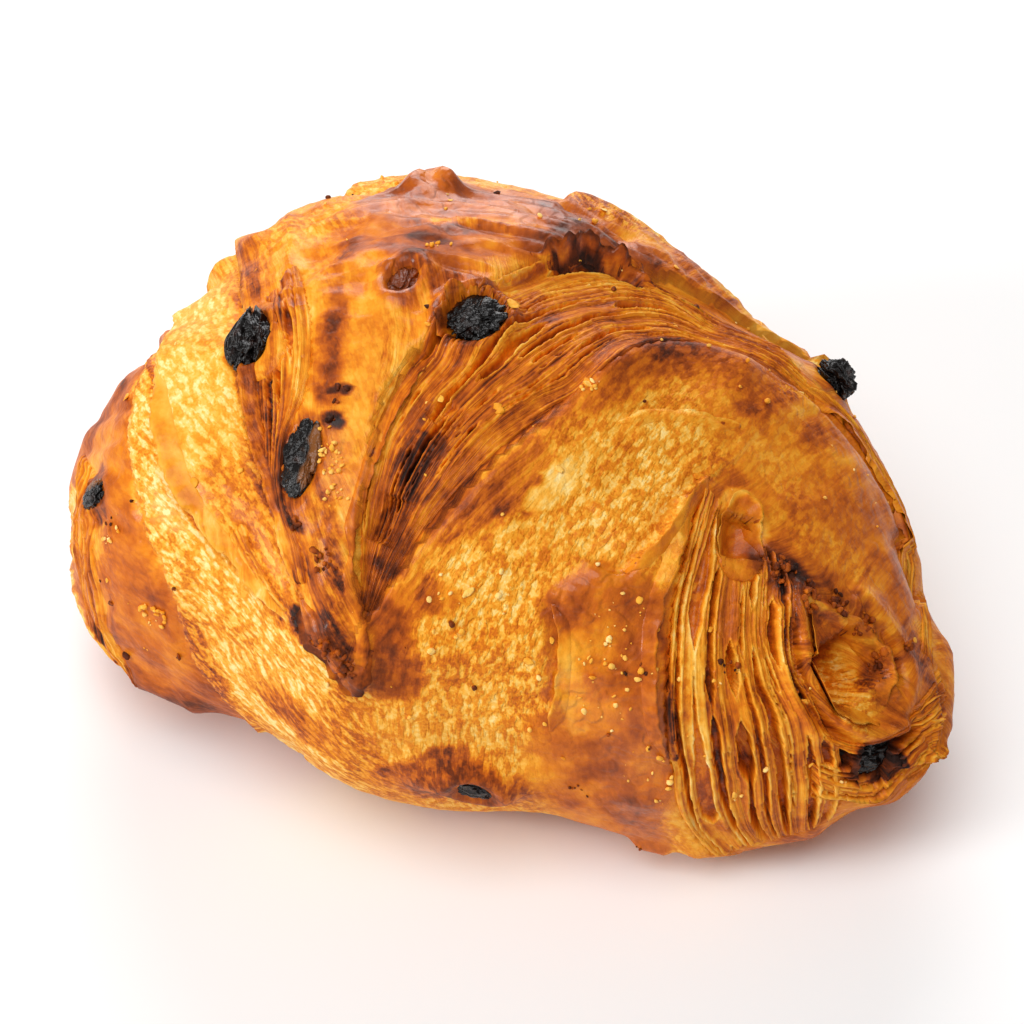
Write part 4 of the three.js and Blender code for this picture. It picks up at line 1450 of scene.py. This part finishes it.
def ply_flow(ground: Ground) -> np.ndarray:
    """Coordinates across and along the stacked layers, counted in layers."""
    layer_mm, run_mm, fan_layers = 0.75, 9.0, 30
    left, right = TONGUE_LEFT.distance(ground), TONGUE_RIGHT.distance(ground)
    fan, cut = FAN_BOTTOM.distance(ground), CUT_END_LEFT.distance(ground)
    across = np.where(left > 0, left, DOME_EDGE.distance(ground)) / layer_mm
    in_fan = (right > 0) & (fan < 0)
    across = np.where(in_fan, fan_layers * right / np.maximum(right - fan, 0.5), across)
    across = np.where(fan >= 0, 0.8 * fan / layer_mm, across)
    across = np.where(cut > 0, cut / layer_mm, across)
    along = FLOW_RADIUS * np.radians(ground.angle) / run_mm
    return np.stack([across, along, np.zeros(len(along))], axis=1)


class Crust:
    """The bun's whole outer surface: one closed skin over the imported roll."""

    SIDES = 372
    RINGS = 266

    def build(self, finishes: Finishes) -> bpy.types.Object:
        """Builds and dresses the crust.

        Args:
            finishes: The materials.

        Returns:
            The crust.
        """
        mesh, table = closed_tubes([self.RINGS], self.SIDES)
        ground = Ground(roll_places(self.RINGS, table[:, 1], table[:, 2], self.SIDES))
        looks, directions = paint(ground), flows(ground)
        steps = NOISE.at(directions["ply_flow"] * np.array([0.45, 0.6, 1.0]), 1.0, 2)
        looks["bake"] = np.clip(looks["bake"] + 0.24 * looks["ply"] * steps, 0.0, 1.0)
        height = RELIEF.heights(ground) + self._texture(ground, looks, steps)
        for bed in LAYER_BEDS:
            height -= LayerBed.CRUST_SINK * smooth(bed.cover(ground), 0.5, 1.6)
        points = ground.points + ground.normals * height[:, None]
        points[:, 2] = np.maximum(points[:, 2], 0.0)
        piece = object_from("bun_crust", mesh, points)
        carry(piece, looks | directions)
        finishes.dress(piece, Finish.CRUST)
        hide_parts("bun")
        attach(piece, "root")
        return piece

    @staticmethod
    def _texture(ground: Ground, looks: dict[str, np.ndarray], steps: np.ndarray) -> np.ndarray:
        """Fine bumps: blisters where the dough is mottled, crust where it is burnt, and layer steps."""
        fine = NOISE.at(ground.points + 31.0, 1.5, 2)
        bumps = 0.12 * looks["mottle"] * fine + 0.4 * looks["scorch"] * fine + 0.22 * looks["ply"] * steps
        return bumps * smooth(ground.points[:, 2], 0.0, 5.0)


def stacked_piece(
    name: str, shapes: list[np.ndarray], looks: list[dict[str, np.ndarray]], finishes: Finishes
) -> bpy.types.Object:
    """One piece out of many thin closed layers.

    Args:
        name: Name of the piece.
        shapes: For each layer its points in mm, an array (steps, columns, 3) whose columns go round it.
        looks: For each layer its looks, arrays (steps, columns) or (steps, columns, 3).
        finishes: The materials.

    Returns:
        The piece.
    """
    columns = shapes[0].shape[1]
    mesh, table = closed_tubes([len(shape) for shape in shapes], columns)
    points = np.empty((len(table), 3))
    carried = {key: np.empty((len(table), *value.shape[2:])) for key, value in looks[0].items()}
    order = np.argsort(table[:, 0], kind="stable")
    starts = np.searchsorted(table[order, 0], np.arange(len(shapes) + 1))
    for number, shape in enumerate(shapes):
        own = order[starts[number] : starts[number + 1]]
        row, column = np.clip(table[own, 1], 0, len(shape) - 1), table[own, 2] % columns
        pole = (table[own, 1] < 0) | (table[own, 1] == len(shape))
        points[own] = np.where(pole[:, None], shape.mean(axis=1)[row], shape[row, column])
        for key, values in looks[number].items():
            carried[key][own] = values[row, column]
    for vertex, point in zip(mesh.verts, points):
        vertex.co = point
    bmesh.ops.recalc_face_normals(mesh, faces=mesh.faces)
    piece = object_from(name, mesh)
    carry(piece, carried)
    finishes.dress(piece, Finish.LAYER)
    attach(piece, "root")
    return piece


@dataclass(frozen=True)
class Flap:
    """A layer that lies on the crust and whose free edge lifts along a line of pixels.

    It spreads from the edge to the left of the line as one follows it over the bun, or to the right
    where it is flipped.
    """

    pixels: Pairs
    width: float = 3.0
    lift: float = 0.5
    thickness: float = 0.3
    golden: float = -0.16
    raggedness: float = 0.6
    flip: bool = False
    bake: float | None = None

    TOP = (0.0, 0.25, 0.5, 0.72, 0.88, 1.0)
    UNDER = (1.0, 0.88, 0.66, 0.4, 0.1)

    def places(self) -> tuple[np.ndarray, np.ndarray]:
        """Places of the flap's points, an array (steps, columns, 2), and how far its edge lifts in mm."""
        trace = photo_trace(self.pixels)
        steps = max(16, int(trace.length / 0.4))
        run = np.linspace(0.0, 1.0, steps)
        line = np.stack([np.interp(run, trace.share, trace.places[:, i]) for i in (0, 1)], axis=1)
        side = np.stack([np.interp(run, trace.share, trace.sides[:, i]) for i in range(3)], axis=1)
        wave = np.stack([run * trace.length, np.full(steps, self.pixels[0][0]), np.zeros(steps)], axis=1)
        ragged = self.raggedness * (0.6 * NOISE.at(wave, 3.5) + 0.5 * NOISE.at(wave, 1.2, 2))
        ends = smooth(run, 0.0, 0.15) * smooth(run, 1.0, 0.85)
        direction = -1.0 if self.flip else 1.0
        columns = []
        for share in self.TOP + self.UNDER:
            back = (1.0 - share) * self.width * (0.3 + 0.7 * ends) + ragged * share * ends
            columns.append(ROLL.shifted(line, unit(side), direction * back))
        lift = self.lift * ends * (1.0 + 0.6 * NOISE.at(wave + 7.0, 2.6, 2))
        return np.stack(columns, axis=1), lift


class FlapStack:
    """Flaps that lie on the crust and take their looks from it."""

    def build(self, name: str, flaps: tuple[Flap, ...], finishes: Finishes) -> bpy.types.Object:
        """Builds and dresses a stack of flaps.

        Args:
            name: Name of the piece.
            flaps: The flaps.
            finishes: The materials.

        Returns:
            The piece.
        """
        laid = [flap.places() for flap in flaps]
        whole = Ground(np.concatenate([places.reshape(-1, 2) for places, _ in laid]))
        base = whole.points + whole.normals * RELIEF.heights(whole)[:, None]
        below = paint(whole) | flows(whole)
        share = np.array(Flap.TOP + Flap.UNDER)
        under = np.arange(len(share)) >= len(Flap.TOP)
        shapes, looks = [], []
        start = 0
        for flap, (places, lift) in zip(flaps, laid):
            steps, columns = places.shape[:2]
            part = slice(start, start + steps * columns)
            start = part.stop
            rise = -0.45 + 0.6 * smooth(share, 0.0, 0.3) + lift[:, None] * share**2
            rise = rise - np.where(under, flap.thickness * (0.25 + 0.75 * (1.0 - share)), 0.0)
            points = base[part] + whole.normals[part] * rise.reshape(-1, 1)
            shapes.append(points.reshape(steps, columns, 3))
            own = {key: value[part].reshape(steps, columns, *value.shape[1:]) for key, value in below.items()}
            edge = flap.golden * smooth(share, 0.7, 1.0) + np.where(under, 0.25, 0.0) * (share < 0.95)
            if flap.bake is not None:
                own["bake"] = 0.5 * (own["bake"] - own["bake"].mean()) + flap.bake
                own["mottle"] = 0.15 * own["mottle"]
            own["bake"] = np.clip(own["bake"] + edge, 0.0, 1.0)
            looks.append(own)
        return stacked_piece(name, shapes, looks, finishes)


@dataclass(frozen=True)
class LayerBed:
    """Cut layers that lie open: thin walls of dough that run side by side, with pockets between them.

    The walls run from the start of two lines to their end. The lines are places, or pixels of the
    photograph where the bed is cast. A broad gap is given as its number, how many times as wide it is
    and how deep it is beside the others. Bare spots are lines of pixels with a radius in mm.
    """

    name: str
    first: Pairs
    second: Pairs
    walls: int
    seed: int
    depth: float = 1.8
    wall_mm: float = 0.4
    unevenness: float = 0.5
    openness: float = 0.0
    tile: float = 0.35
    drift: float = 0.035
    shade: float = 0.0
    broad: tuple[tuple[int, float, float], ...] = ()
    bare: tuple[tuple[Pairs, float], ...] = ()
    cast: bool = False

    STEP_MM = 0.21
    UNDERSIDE = 8
    CRUST_SINK = 3.0
    SUNK_MM = 4.0

    @cached_property
    def _net(self) -> tuple[np.ndarray, ...]:
        """Places (steps, columns, 2), mm along, share across, and mm across and from the border."""
        drawn = photo_trace if self.cast else (lambda line: Trace(np.array(line, float)))
        first, second = drawn(self.first), drawn(self.second)
        steps = int(max(first.length, second.length) / self.STEP_MM)
        run = np.linspace(0.0, 1.0, steps)
        sides = []
        for trace in (first, second):
            sides.append(np.stack([np.interp(run, trace.share, trace.places[:, i]) for i in (0, 1)], axis=1))
        edges = [ROLL.points(side) for side in sides]
        width = np.linalg.norm(edges[1] - edges[0], axis=1)
        across = np.linspace(0.0, 1.0, int(width.max() / self.STEP_MM))
        start, end = edges if self.cast else sides
        net = start[:, None] * (1.0 - across[:, None]) + end[:, None] * across[:, None]
        places = CASTER.before(net.reshape(-1, 3)).reshape(*net.shape[:2], 2) if self.cast else net
        along = run * (first.length + second.length) / 2
        border = np.minimum(
            np.minimum(along, along[-1] - along)[:, None] * 0.6,
            np.minimum(across, 1.0 - across) * width[:, None],
        )
        for pixels, radius in self.bare:
            chosen, distance, _, _ = photo_trace(pixels).near(Ground(places.reshape(-1, 2)), 3 * radius)
            flat = border.reshape(-1)
            flat[chosen] = np.minimum(flat[chosen], np.maximum(distance - radius, 0.0))
        return places, along, across, width, border

    def cover(self, ground: Ground) -> np.ndarray:
        """How far inside the bed each place lies, in mm from its border; 0 outside it."""
        places, _, _, _, border = self._net
        sample = ROLL.points(places[::3, ::3].reshape(-1, 2))
        depth = border[::3, ::3].ravel()
        tree = KDTree(len(sample))
        for i, point in enumerate(sample):
            tree.insert(point, i)
        tree.balance()
        inside = np.all((ground.points > sample.min(0)) & (ground.points < sample.max(0)), axis=1)
        covered = np.zeros(len(ground.x))
        for i in np.nonzero(inside)[0]:
            _, nearest, gap = tree.find(ground.points[i])
            if gap < 3 * self.STEP_MM:
                covered[i] = depth[nearest]
        return covered

    def _marks(self) -> tuple[np.ndarray, np.ndarray]:
        """Shares across at which the walls stand, and how deep each gap is beside the others."""
        random = np.random.default_rng(self.seed)
        gaps = np.exp(self.unevenness * random.normal(size=self.walls - 1))
        depths = random.uniform(0.5, 1.3, self.walls - 1)
        for number, times, depth in self.broad:
            gaps[number] = times
            depths[number] = depth
        return np.concatenate([[0.0], np.cumsum(gaps)]) / gaps.sum(), depths

    def _shape(self) -> dict[str, np.ndarray]:
        """Height over the crust, and the shares of pocket, rim and the tile edges' painted highlight and
        painted shade at each point of the net.
        """
        _, along, across, width, border = self._net
        marks, depths = self._marks()
        shape = (len(along), len(across))
        u = np.broadcast_to(along[:, None], shape).ravel()
        v = np.broadcast_to(across, shape).ravel()
        wide = np.broadcast_to(width[:, None], shape).ravel()

        def noise(mm: float, other: np.ndarray, octaves: int = 1) -> np.ndarray:
            """Noise with lumps of some mm along the walls and of size 1 in another coordinate."""
            return NOISE.at(np.stack([u / mm, other, np.full(len(u), self.seed * 3.7)], axis=1), 1.0, octaves)

        drift = self.drift * (noise(17.0, 2.6 * v) + 0.4 * noise(5.0, 8.0 * v))
        spot = np.interp(np.clip(v + drift, 0.0, 1.0), marks, np.arange(self.walls))
        gap = np.clip(np.floor(spot), 0, self.walls - 2)
        nearest = np.round(spot)
        gap_mm = wide * np.diff(marks)[gap.astype(int)]
        crinkle = 0.13 * noise(1.1, 1.3 * spot) + 0.08 * noise(0.5, 2.1 * spot)
        beside = np.minimum(spot - gap, gap + 1 - spot) * gap_mm + crinkle
        opened = smooth(noise(7.5, 7.7 * gap) + self.openness, -0.15, 0.45) * smooth(gap_mm, 0.3, 0.9)
        wall = self.wall_mm * (0.75 + 0.5 * noise(9.0, 5.3 * nearest))
        wall = np.maximum(wall, 0.12) + (1.0 - opened) * gap_mm / 2
        pocket = smooth(beside, wall, wall + 0.3) * smooth(opened, 0.0, 0.2)
        floor = self.depth * depths[gap.astype(int)] * (0.85 + 0.4 * noise(10.0, 3.1 * gap))
        floor = floor * np.sqrt(np.minimum(1.0, gap_mm / 1.8))
        edge = np.minimum(gap_mm, 1.5) / 1.5
        tile = self.tile * (spot - gap) * edge * (1.0 - pocket)
        rim = np.exp(-(((beside - wall) / 0.16) ** 2)) * smooth(opened, 0.0, 0.3)
        fine = 0.2 * noise(6.0, 3.7 * nearest) + 0.06 * noise(0.8, 4.0 * spot, 2)
        height = tile + fine + 0.16 * rim - floor * pocket
        laid = smooth(border.ravel(), 0.0, 0.9)
        # Painted highlight along the top edge of each tile, and painted shade at its foot.
        painted_highlight_crest = smooth(spot - gap, 0.72, 0.97) * edge * (1.0 - pocket)
        painted_shade_foot = smooth(spot - gap, 0.3, 0.03) * edge * (1.0 - pocket)
        return {
            "height": -0.6 + (height + 0.6) * laid,
            "pocket": pocket * laid,
            "rim": rim * laid,
            "painted_highlight_crest": painted_highlight_crest,
            "painted_shade_foot": painted_shade_foot,
            "tone": noise(9.0, 11.3 * gap),
            "spot": spot,
            "along": u,
        }

    def build(self, finishes: Finishes) -> bpy.types.Object:
        """Builds and dresses the bed.

        Args:
            finishes: The materials.

        Returns:
            The bed.
        """
        places = self._net[0]
        steps, columns = places.shape[:2]
        ground = Ground(places.reshape(-1, 2))
        shape = self._shape()
        looks = paint(ground) | flows(ground)
        pocket = shape["pocket"]
        # Pockets are darkened with painted shade and rims made paler; tile tops get the painted highlight and
        # tile feet the painted shade.
        bake = looks["bake"] + pocket * (0.17 + 0.2 * shape["tone"]) - 0.22 * shape["rim"]
        bake = bake - 0.1 * shape["painted_highlight_crest"] + 0.14 * shape["painted_shade_foot"] + 0.08 * (1.0 - pocket) * shape["tone"]
        looks["bake"] = np.clip(bake + self.shade, 0.0, 1.0)
        looks["gloss"] = looks["gloss"] + 0.3 * pocket
        looks["mottle"] = looks["mottle"] + 0.35 * pocket
        looks["ply"] = 0.75 * (1.0 - pocket)
        flow = (3.0 * shape["spot"], shape["along"] / 9.0, np.zeros(len(pocket)))
        looks["ply_flow"] = np.stack(flow, axis=1)
        level = RELIEF.heights(ground)[:, None] * ground.normals + ground.points
        top = (level + ground.normals * shape["height"][:, None]).reshape(steps, columns, 3)
        below = np.linspace(columns - 1, 0, self.UNDERSIDE).astype(int)
        under = (level - ground.normals * self.SUNK_MM).reshape(steps, columns, 3)[:, below]
        points = np.concatenate([top, under], axis=1)
        carried = {}
        for key, values in looks.items():
            values = values.reshape(steps, columns, *values.shape[1:])
            carried[key] = np.concatenate([values, values[:, below]], axis=1)
        return stacked_piece(self.name, [points], [carried], finishes)


LAYER_BEDS = (
    LayerBed(
        "fan_layers",
        (
            (0.6, 25), (-3.6, 40), (-7.0, 52), (-9.6, 64), (-9.0, 78), (-7.0, 94), (-4.6, 110), (4, 126),
            (24, 138),
        ),
        ((2.4, 23), (4.2, 37), (6.4, 51), (9.6, 66), (13.4, 84), (16.4, 98), (21, 109), (28, 116), (40, 124)),
        walls=25, seed=31, wall_mm=0.34, openness=0.28, depth=2.4, shade=0.07, tile=0.3, unevenness=0.6,
        drift=0.05, broad=((2, 3.2, 1.4), (8, 2.4, 1.2), (15, 2.2, 1.2)),
    ),
    LayerBed(
        "tongue_layers",
        ((256, 300), (256, 375), (262, 430), (273, 490), (300, 588)),
        ((300, 262), (318, 330), (314, 390), (296, 440), (292, 490), (307, 540), (318, 588)),
        walls=9, seed=35, wall_mm=0.3, openness=0.1, depth=1.4, tile=0.5, drift=0.06, shade=0.12, cast=True,
        bare=((((250, 322), (264, 362)), 3.9),),
    ),
    LayerBed(
        "cut_end_walls",
        (
            (31.6, 80), (33.5, 70), (35.4, 58), (37, 48), (38.4, 38), (40.2, 24), (41.8, 10), (43.2, -4),
            (45, -24), (47, -40),
        ),
        (
            (46, 79), (48.6, 73), (51, 65), (53.6, 56), (57, 48), (60, 40), (62, 28), (63.2, 12),
            (63.6, -4), (63, -20), (61.5, -38),
        ),
        walls=16, seed=32, wall_mm=0.42, openness=0.42, depth=3.2, unevenness=0.5, tile=0.4,
        broad=((2, 3.0, 0.35), (3, 1.8, 0.7), (9, 1.8, 1.2), (13, 2.0, 0.3)),
        bare=((((741, 518), (741, 556)), 3.2),),
    ),
    LayerBed(
        "end_walls",
        ((66.0, 80), (66.8, 96), (66.8, 112), (66.2, 130), (65, 150)),
        ((69.2, 76), (69.5, 94), (69.5, 112), (69.3, 135), (69.0, 160)),
        walls=7, seed=33, wall_mm=0.3, depth=1.0, tile=0.5,
    ),
    LayerBed(
        "dome_layers",
        ((-60, 36), (-57, 16), (-53, -8), (-48, -30)),
        ((-52, 30), (-47, 12), (-44, -8), (-40, -30)),
        walls=9, seed=36, wall_mm=0.5, depth=0.8, openness=-0.2, tile=0.45,
    ),
    LayerBed(
        "lip_layers",
        ((-25, 25), (-21, 20.5), (-16, 17), (-11, 14.5)),
        ((-22, 31), (-18, 26), (-13, 21), (-9, 17.5)),
        walls=7, seed=37, wall_mm=0.3, depth=0.8, tile=0.4,
    ),
    LayerBed(
        "back_edge_layers",
        ((30, 124), (42, 133), (51, 138), (59, 132), (64, 118)),
        ((34, 134), (44, 144), (54, 150), (62, 146), (66.5, 132)),
        walls=9, seed=38, wall_mm=0.34, depth=1.2, openness=0.1, tile=0.5,
    ),
    LayerBed(
        "end_laminations",
        ((818, 722), (856, 740), (890, 730), (918, 706), (948, 692)),
        ((812, 802), (850, 806), (892, 797), (920, 780), (938, 760)),
        walls=9, seed=34, wall_mm=0.42, openness=0.45, depth=2.2, tile=0.6, drift=0.06, shade=0.06, cast=True,
        bare=((((864, 768), (890, 766)), 1.4),),
    ),
)


FLAPS = (
    # Thin lip between the two pale bands
    Flap(
        ((160, 372), (168, 450), (190, 505), (236, 560), (290, 622)), 3.0, 1.3, 0.35, golden=-0.1, bake=0.38
    ),
    # Left edge of the tongue, and its burnt tip
    Flap(((244, 330), (252, 430), (272, 495), (303, 590)), 2.4, 1.0, golden=-0.08),
    Flap(
        ((304, 596), (310, 622), (324, 654), (344, 680), (360, 688), (372, 674), (375, 648)),
        5.0, 1.6, 1.0, golden=0.08, raggedness=1.1, bake=0.71,
    ),
    # Torn upper edge over the fan
    Flap(
        ((530, 252), (560, 242), (585, 234), (610, 240), (640, 250), (672, 266)),
        3.0, 1.5, 0.5, golden=0.16, raggedness=1.0, flip=True,
    ),
    # Right edge of the tongue, down to its tip
    Flap(
        ((440, 350), (408, 392), (384, 446), (366, 508), (356, 560)),
        2.4, 0.6, golden=0.08, flip=True, bake=0.6,
    ),
    Flap(((355, 555), (364, 600), (372, 640), (368, 676)), 2.2, 0.5, golden=0.08, flip=True, bake=0.58),
    Flap(
        ((438, 344), (444, 320), (462, 308), (484, 304), (500, 314)),
        2.6, 0.9, 0.4, raggedness=1.1, flip=True,
    ),
    # Lip in the middle and the slit sheet beside it
    Flap(
        ((706, 475), (684, 498), (660, 532), (640, 552), (622, 571)), 2.6, 1.2, 0.4, golden=-0.05, bake=0.52
    ),
    Flap(((690, 505), (676, 560), (660, 620), (656, 690), (668, 760)), 3.0, 0.8, golden=-0.06, flip=True),
    # Crease in the glossy crust
    Flap(((551, 604), (557, 645), (556, 690), (549, 728)), 2.6, 0.6, golden=-0.12),
    # Rims of the oval hollow and the coil
    Flap(((722, 566), (716, 525), (732, 494), (756, 510), (766, 556)), 2.2, 1.0, golden=-0.1, flip=True),
    Flap(((808, 600), (811, 645), (822, 690), (846, 718), (878, 726)), 2.0, 1.2, 0.5, golden=-0.1, bake=0.56),
    Flap(((842, 612), (870, 640), (886, 668), (888, 706)), 2.4, 1.2, 0.5, golden=-0.12, flip=True, bake=0.66),
    # Rim of the smooth crust on the right
    Flap(((812, 398), (845, 430), (874, 474), (900, 524), (912, 572)), 3.0, 0.7),
    # Thin edge below the brown swelling
    Flap(((740, 425), (692, 411), (650, 409), (618, 422)), 3.0, 0.4),
)


@dataclass(frozen=True)
class Scatter:
    """Loose bits of one kind on the crust, in clusters round pixels of the photograph.

    A cluster is given as its pixel, how many bits lie there and how far they spread in mm. Single
    bits lie all over the upper crust besides. Size is the range of the bits' sizes in mm, and sunk
    is the share of a bit that lies below the crust.
    """

    name: str
    clusters: tuple[tuple[int, int, int, float], ...]
    size: tuple[float, float]
    bake: float
    seed: int
    scorch: float = 0.0
    flatness: float = 0.7
    curl: float = 0.0
    sunk: float = 0.15
    all_over: int = 0

    def _places(self, random: np.random.Generator) -> np.ndarray:
        """Places of the bits."""
        found = []
        for column, row, count, spread in self.clusters:
            centre = np.array([CASTER.place((column, row))])
            middle = np.repeat(centre, count, axis=0)
            aside = unit(np.cross(random.normal(size=(count, 3)), ROLL.normals(middle)))
            reach = spread * np.sqrt(random.uniform(0.0, 1.0, count))
            found.append(ROLL.shifted(middle, aside, reach))
        along = random.uniform(-58.0, 60.0, self.all_over)
        around = random.uniform(0.0, 190.0, self.all_over)
        return np.concatenate([*found, np.stack([along, around], axis=1)])

    def build(self, finishes: Finishes) -> bpy.types.Object:
        """Builds and dresses the bits as one piece.

        Args:
            finishes: The materials.

        Returns:
            The piece.
        """
        random = np.random.default_rng(self.seed)
        ground = Ground(self._places(random))
        count = len(ground.x)
        mesh = bmesh.new()
        for _ in range(count):
            bmesh.ops.create_icosphere(mesh, subdivisions=2, radius=1.0)
        ball = np.array([vertex.co[:] for vertex in mesh.verts])
        bit = np.repeat(np.arange(count), len(ball) // count)
        lumpy = 1.0 + 0.35 * NOISE.at(ball + 7.3 * bit[:, None], 0.8, 2)
        size = random.uniform(0.0, 1.0, count) ** 1.6 * (self.size[1] - self.size[0]) + self.size[0]
        stretch = random.uniform(0.6, 1.3, (count, 3)) * np.array([1.0, 0.8, self.flatness])
        local = ball * lumpy[:, None] * (size[:, None] / 2 * stretch)[bit]
        local[:, 2] += self.curl * local[:, 0] ** 2 / size[bit]
        outward = unit(ground.normals + 0.35 * self.flatness * random.normal(size=(count, 3)))
        first = unit(np.cross(outward, random.normal(size=(count, 3))))
        second = np.cross(outward, first)
        height = RELIEF.heights(ground) + size * stretch[:, 2] * (0.5 - self.sunk)
        centre = ground.points + ground.normals * height[:, None]
        points = centre[bit] + local[:, :1] * first[bit] + local[:, 1:2] * second[bit]
        points = points + local[:, 2:] * outward[bit]
        piece = object_from(self.name, mesh, points)
        bake = np.clip(self.bake + random.uniform(-0.12, 0.12, count), 0.0, 1.0)[bit]
        blank = np.zeros(len(bit))
        plain = {"bake": bake, "mottle": blank + 0.3, "gloss": blank + 0.15, "scorch": blank + self.scorch}
        flow = {name: points / 1.2 for name in ("flow_round", "flow_band", "ply_flow")}
        carry(piece, plain | {"ply": blank, "turn": blank} | flow)
        finishes.dress(piece, Finish.CRUMB)
        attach(piece, "root")
        return piece


SCATTERS = (
    Scatter(
        "crumbs_pale",
        (
            (112, 536, 9, 1.6), (150, 612, 26, 3.4), (146, 647, 2, 0.8), (808, 688, 1, 0.1),
            (738, 802, 3, 0.9), (716, 684, 4, 0.8), (628, 636, 34, 6.0), (600, 690, 20, 5.0),
            (336, 462, 40, 2.2), (342, 500, 14, 1.8), (650, 770, 16, 5.0), (470, 600, 16, 6.0),
            (590, 390, 8, 1.5), (440, 262, 5, 2.0), (850, 790, 6, 2.5),
        ),
        (0.22, 1.1), 0.2, seed=41, all_over=130,
    ),
    Scatter(
        "crumbs_dark",
        (
            (728, 666, 9, 1.7), (106, 524, 4, 1.4), (112, 602, 2, 0.5), (127, 652, 2, 0.5),
            (180, 655, 2, 0.5), (304, 526, 5, 0.9), (302, 622, 6, 1.4), (700, 660, 2, 0.6),
            (640, 852, 3, 0.9), (580, 790, 6, 1.6), (345, 402, 5, 1.6), (338, 424, 5, 1.0),
            (610, 736, 2, 0.6),
        ),
        (0.3, 1.3), 0.86, seed=42, scorch=0.6, all_over=30,
    ),
    Scatter(
        "burnt_granules",
        (
            (782, 572, 34, 2.0), (806, 596, 34, 2.2), (838, 604, 30, 1.8), (862, 626, 30, 1.8),
            (880, 662, 16, 1.4), (345, 655, 34, 2.6), (330, 640, 12, 1.6), (332, 560, 14, 2.0),
            (900, 655, 6, 1.6),
        ),
        (0.5, 1.5), 0.76, seed=43, scorch=0.3, sunk=0.0,
    ),
    Scatter(
        "flakes_pale",
        (
            (442, 597, 1, 0.1), (545, 722, 1, 0.1), (563, 757, 1, 0.1), (690, 308, 2, 0.6),
            (560, 470, 1, 0.2), (914, 640, 1, 0.1), (590, 385, 2, 1.6), (500, 400, 2, 1.6),
            (735, 802, 2, 0.8), (435, 400, 3, 1.4),
        ),
        (0.8, 2.0), 0.3, seed=44, flatness=0.14, curl=0.35, sunk=0.1, all_over=22,
    ),
)


@dataclass(frozen=True)
class Studio:
    """Pale floor, soft lights and the photograph's camera."""

    floor_m: float = 6.0
    world_strength: float = 0.26
    exposure: float = 0.0

    def build(self, finishes: Finishes) -> None:
        """Sets up the stage."""
        self._floor(finishes)
        self._light("back_softbox", azimuth=-146, elevation=26, distance=0.9, size=0.7, power=5.5)
        self._light("side_softbox", azimuth=-35, elevation=24, distance=0.9, size=0.3, power=3.4)
        self._light("top_fill", azimuth=10, elevation=68, distance=1.1, size=0.9, power=8.0)
        world = bpy.data.worlds.new("studio")
        world.use_nodes = True
        world.node_tree.nodes["Background"].inputs["Color"].default_value = (1, 1, 1, 1)
        world.node_tree.nodes["Background"].inputs["Strength"].default_value = self.world_strength
        scene = bpy.context.scene
        scene.world = world
        scene.view_settings.view_transform = "Standard"
        scene.view_settings.exposure = self.exposure
        self._camera()

    def _floor(self, finishes: Finishes) -> None:
        """Pale floor under the bun."""
        mesh = bmesh.new()
        bmesh.ops.create_grid(mesh, x_segments=1, y_segments=1, size=self.floor_m / 2 / MM)
        floor = object_from("floor", mesh)
        finishes.dress(floor, Finish.FLOOR)

    def _light(
        self, name: str, azimuth: float, elevation: float, distance: float, size: float, power: float
    ) -> None:
        """Round soft light that looks at the bun.

        Args:
            name: Name of the light.
            azimuth: Degrees round the bun; 0 is the front.
            elevation: Degrees above the floor.
            distance: Distance from the bun in metres.
            size: Diameter of the light in metres.
            power: Power in watts.
        """
        data = bpy.data.lights.new(name, "AREA")
        data.shape = "DISK"
        data.size = size
        data.energy = power
        light = bpy.data.objects.new(name, data)
        a, e = math.radians(azimuth), math.radians(elevation)
        place = Vector((math.sin(a) * math.cos(e), -math.cos(a) * math.cos(e), math.sin(e))) * distance
        light.location = place + Vector((0, 0, 0.035))
        light.rotation_euler = place.to_track_quat("Z", "Y").to_euler()
        bpy.context.scene.collection.objects.link(light)

    def _camera(self) -> None:
        """Camera at the photograph's angle."""
        data = bpy.data.cameras.new("photo_camera")
        data.sensor_width = SENSOR_MM
        data.lens = VIEW.lens_mm()
        data.clip_start = 0.01
        camera = bpy.data.objects.new("photo_camera", data)
        right, up, back = (Vector(axis) for axis in VIEW.axes())
        turn = Matrix((right, up, back)).transposed()
        camera.matrix_world = Matrix.Translation(Vector(VIEW.location() * MM)) @ turn.to_4x4()
        bpy.context.scene.collection.objects.link(camera)
        bpy.context.scene.camera = camera


def main() -> None:
    """Builds the bun, its stage and its camera, and reports each piece."""
    finishes = Finishes()
    pieces = [Crust().build(finishes)]
    pieces.append(FlapStack().build("layer_flaps", FLAPS, finishes))
    pieces += [bed.build(finishes) for bed in LAYER_BEDS]
    pieces += [scatter.build(finishes) for scatter in SCATTERS]
    pieces += [raisin.build(finishes) for raisin in RAISINS]
    Studio().build(finishes)
    for piece in pieces:
        log.info("%s: %d faces", piece.name, len(piece.data.polygons))


if __name__ == "__main__":
    logging.basicConfig(level=logging.INFO, format="%(name)s: %(message)s")
    main()
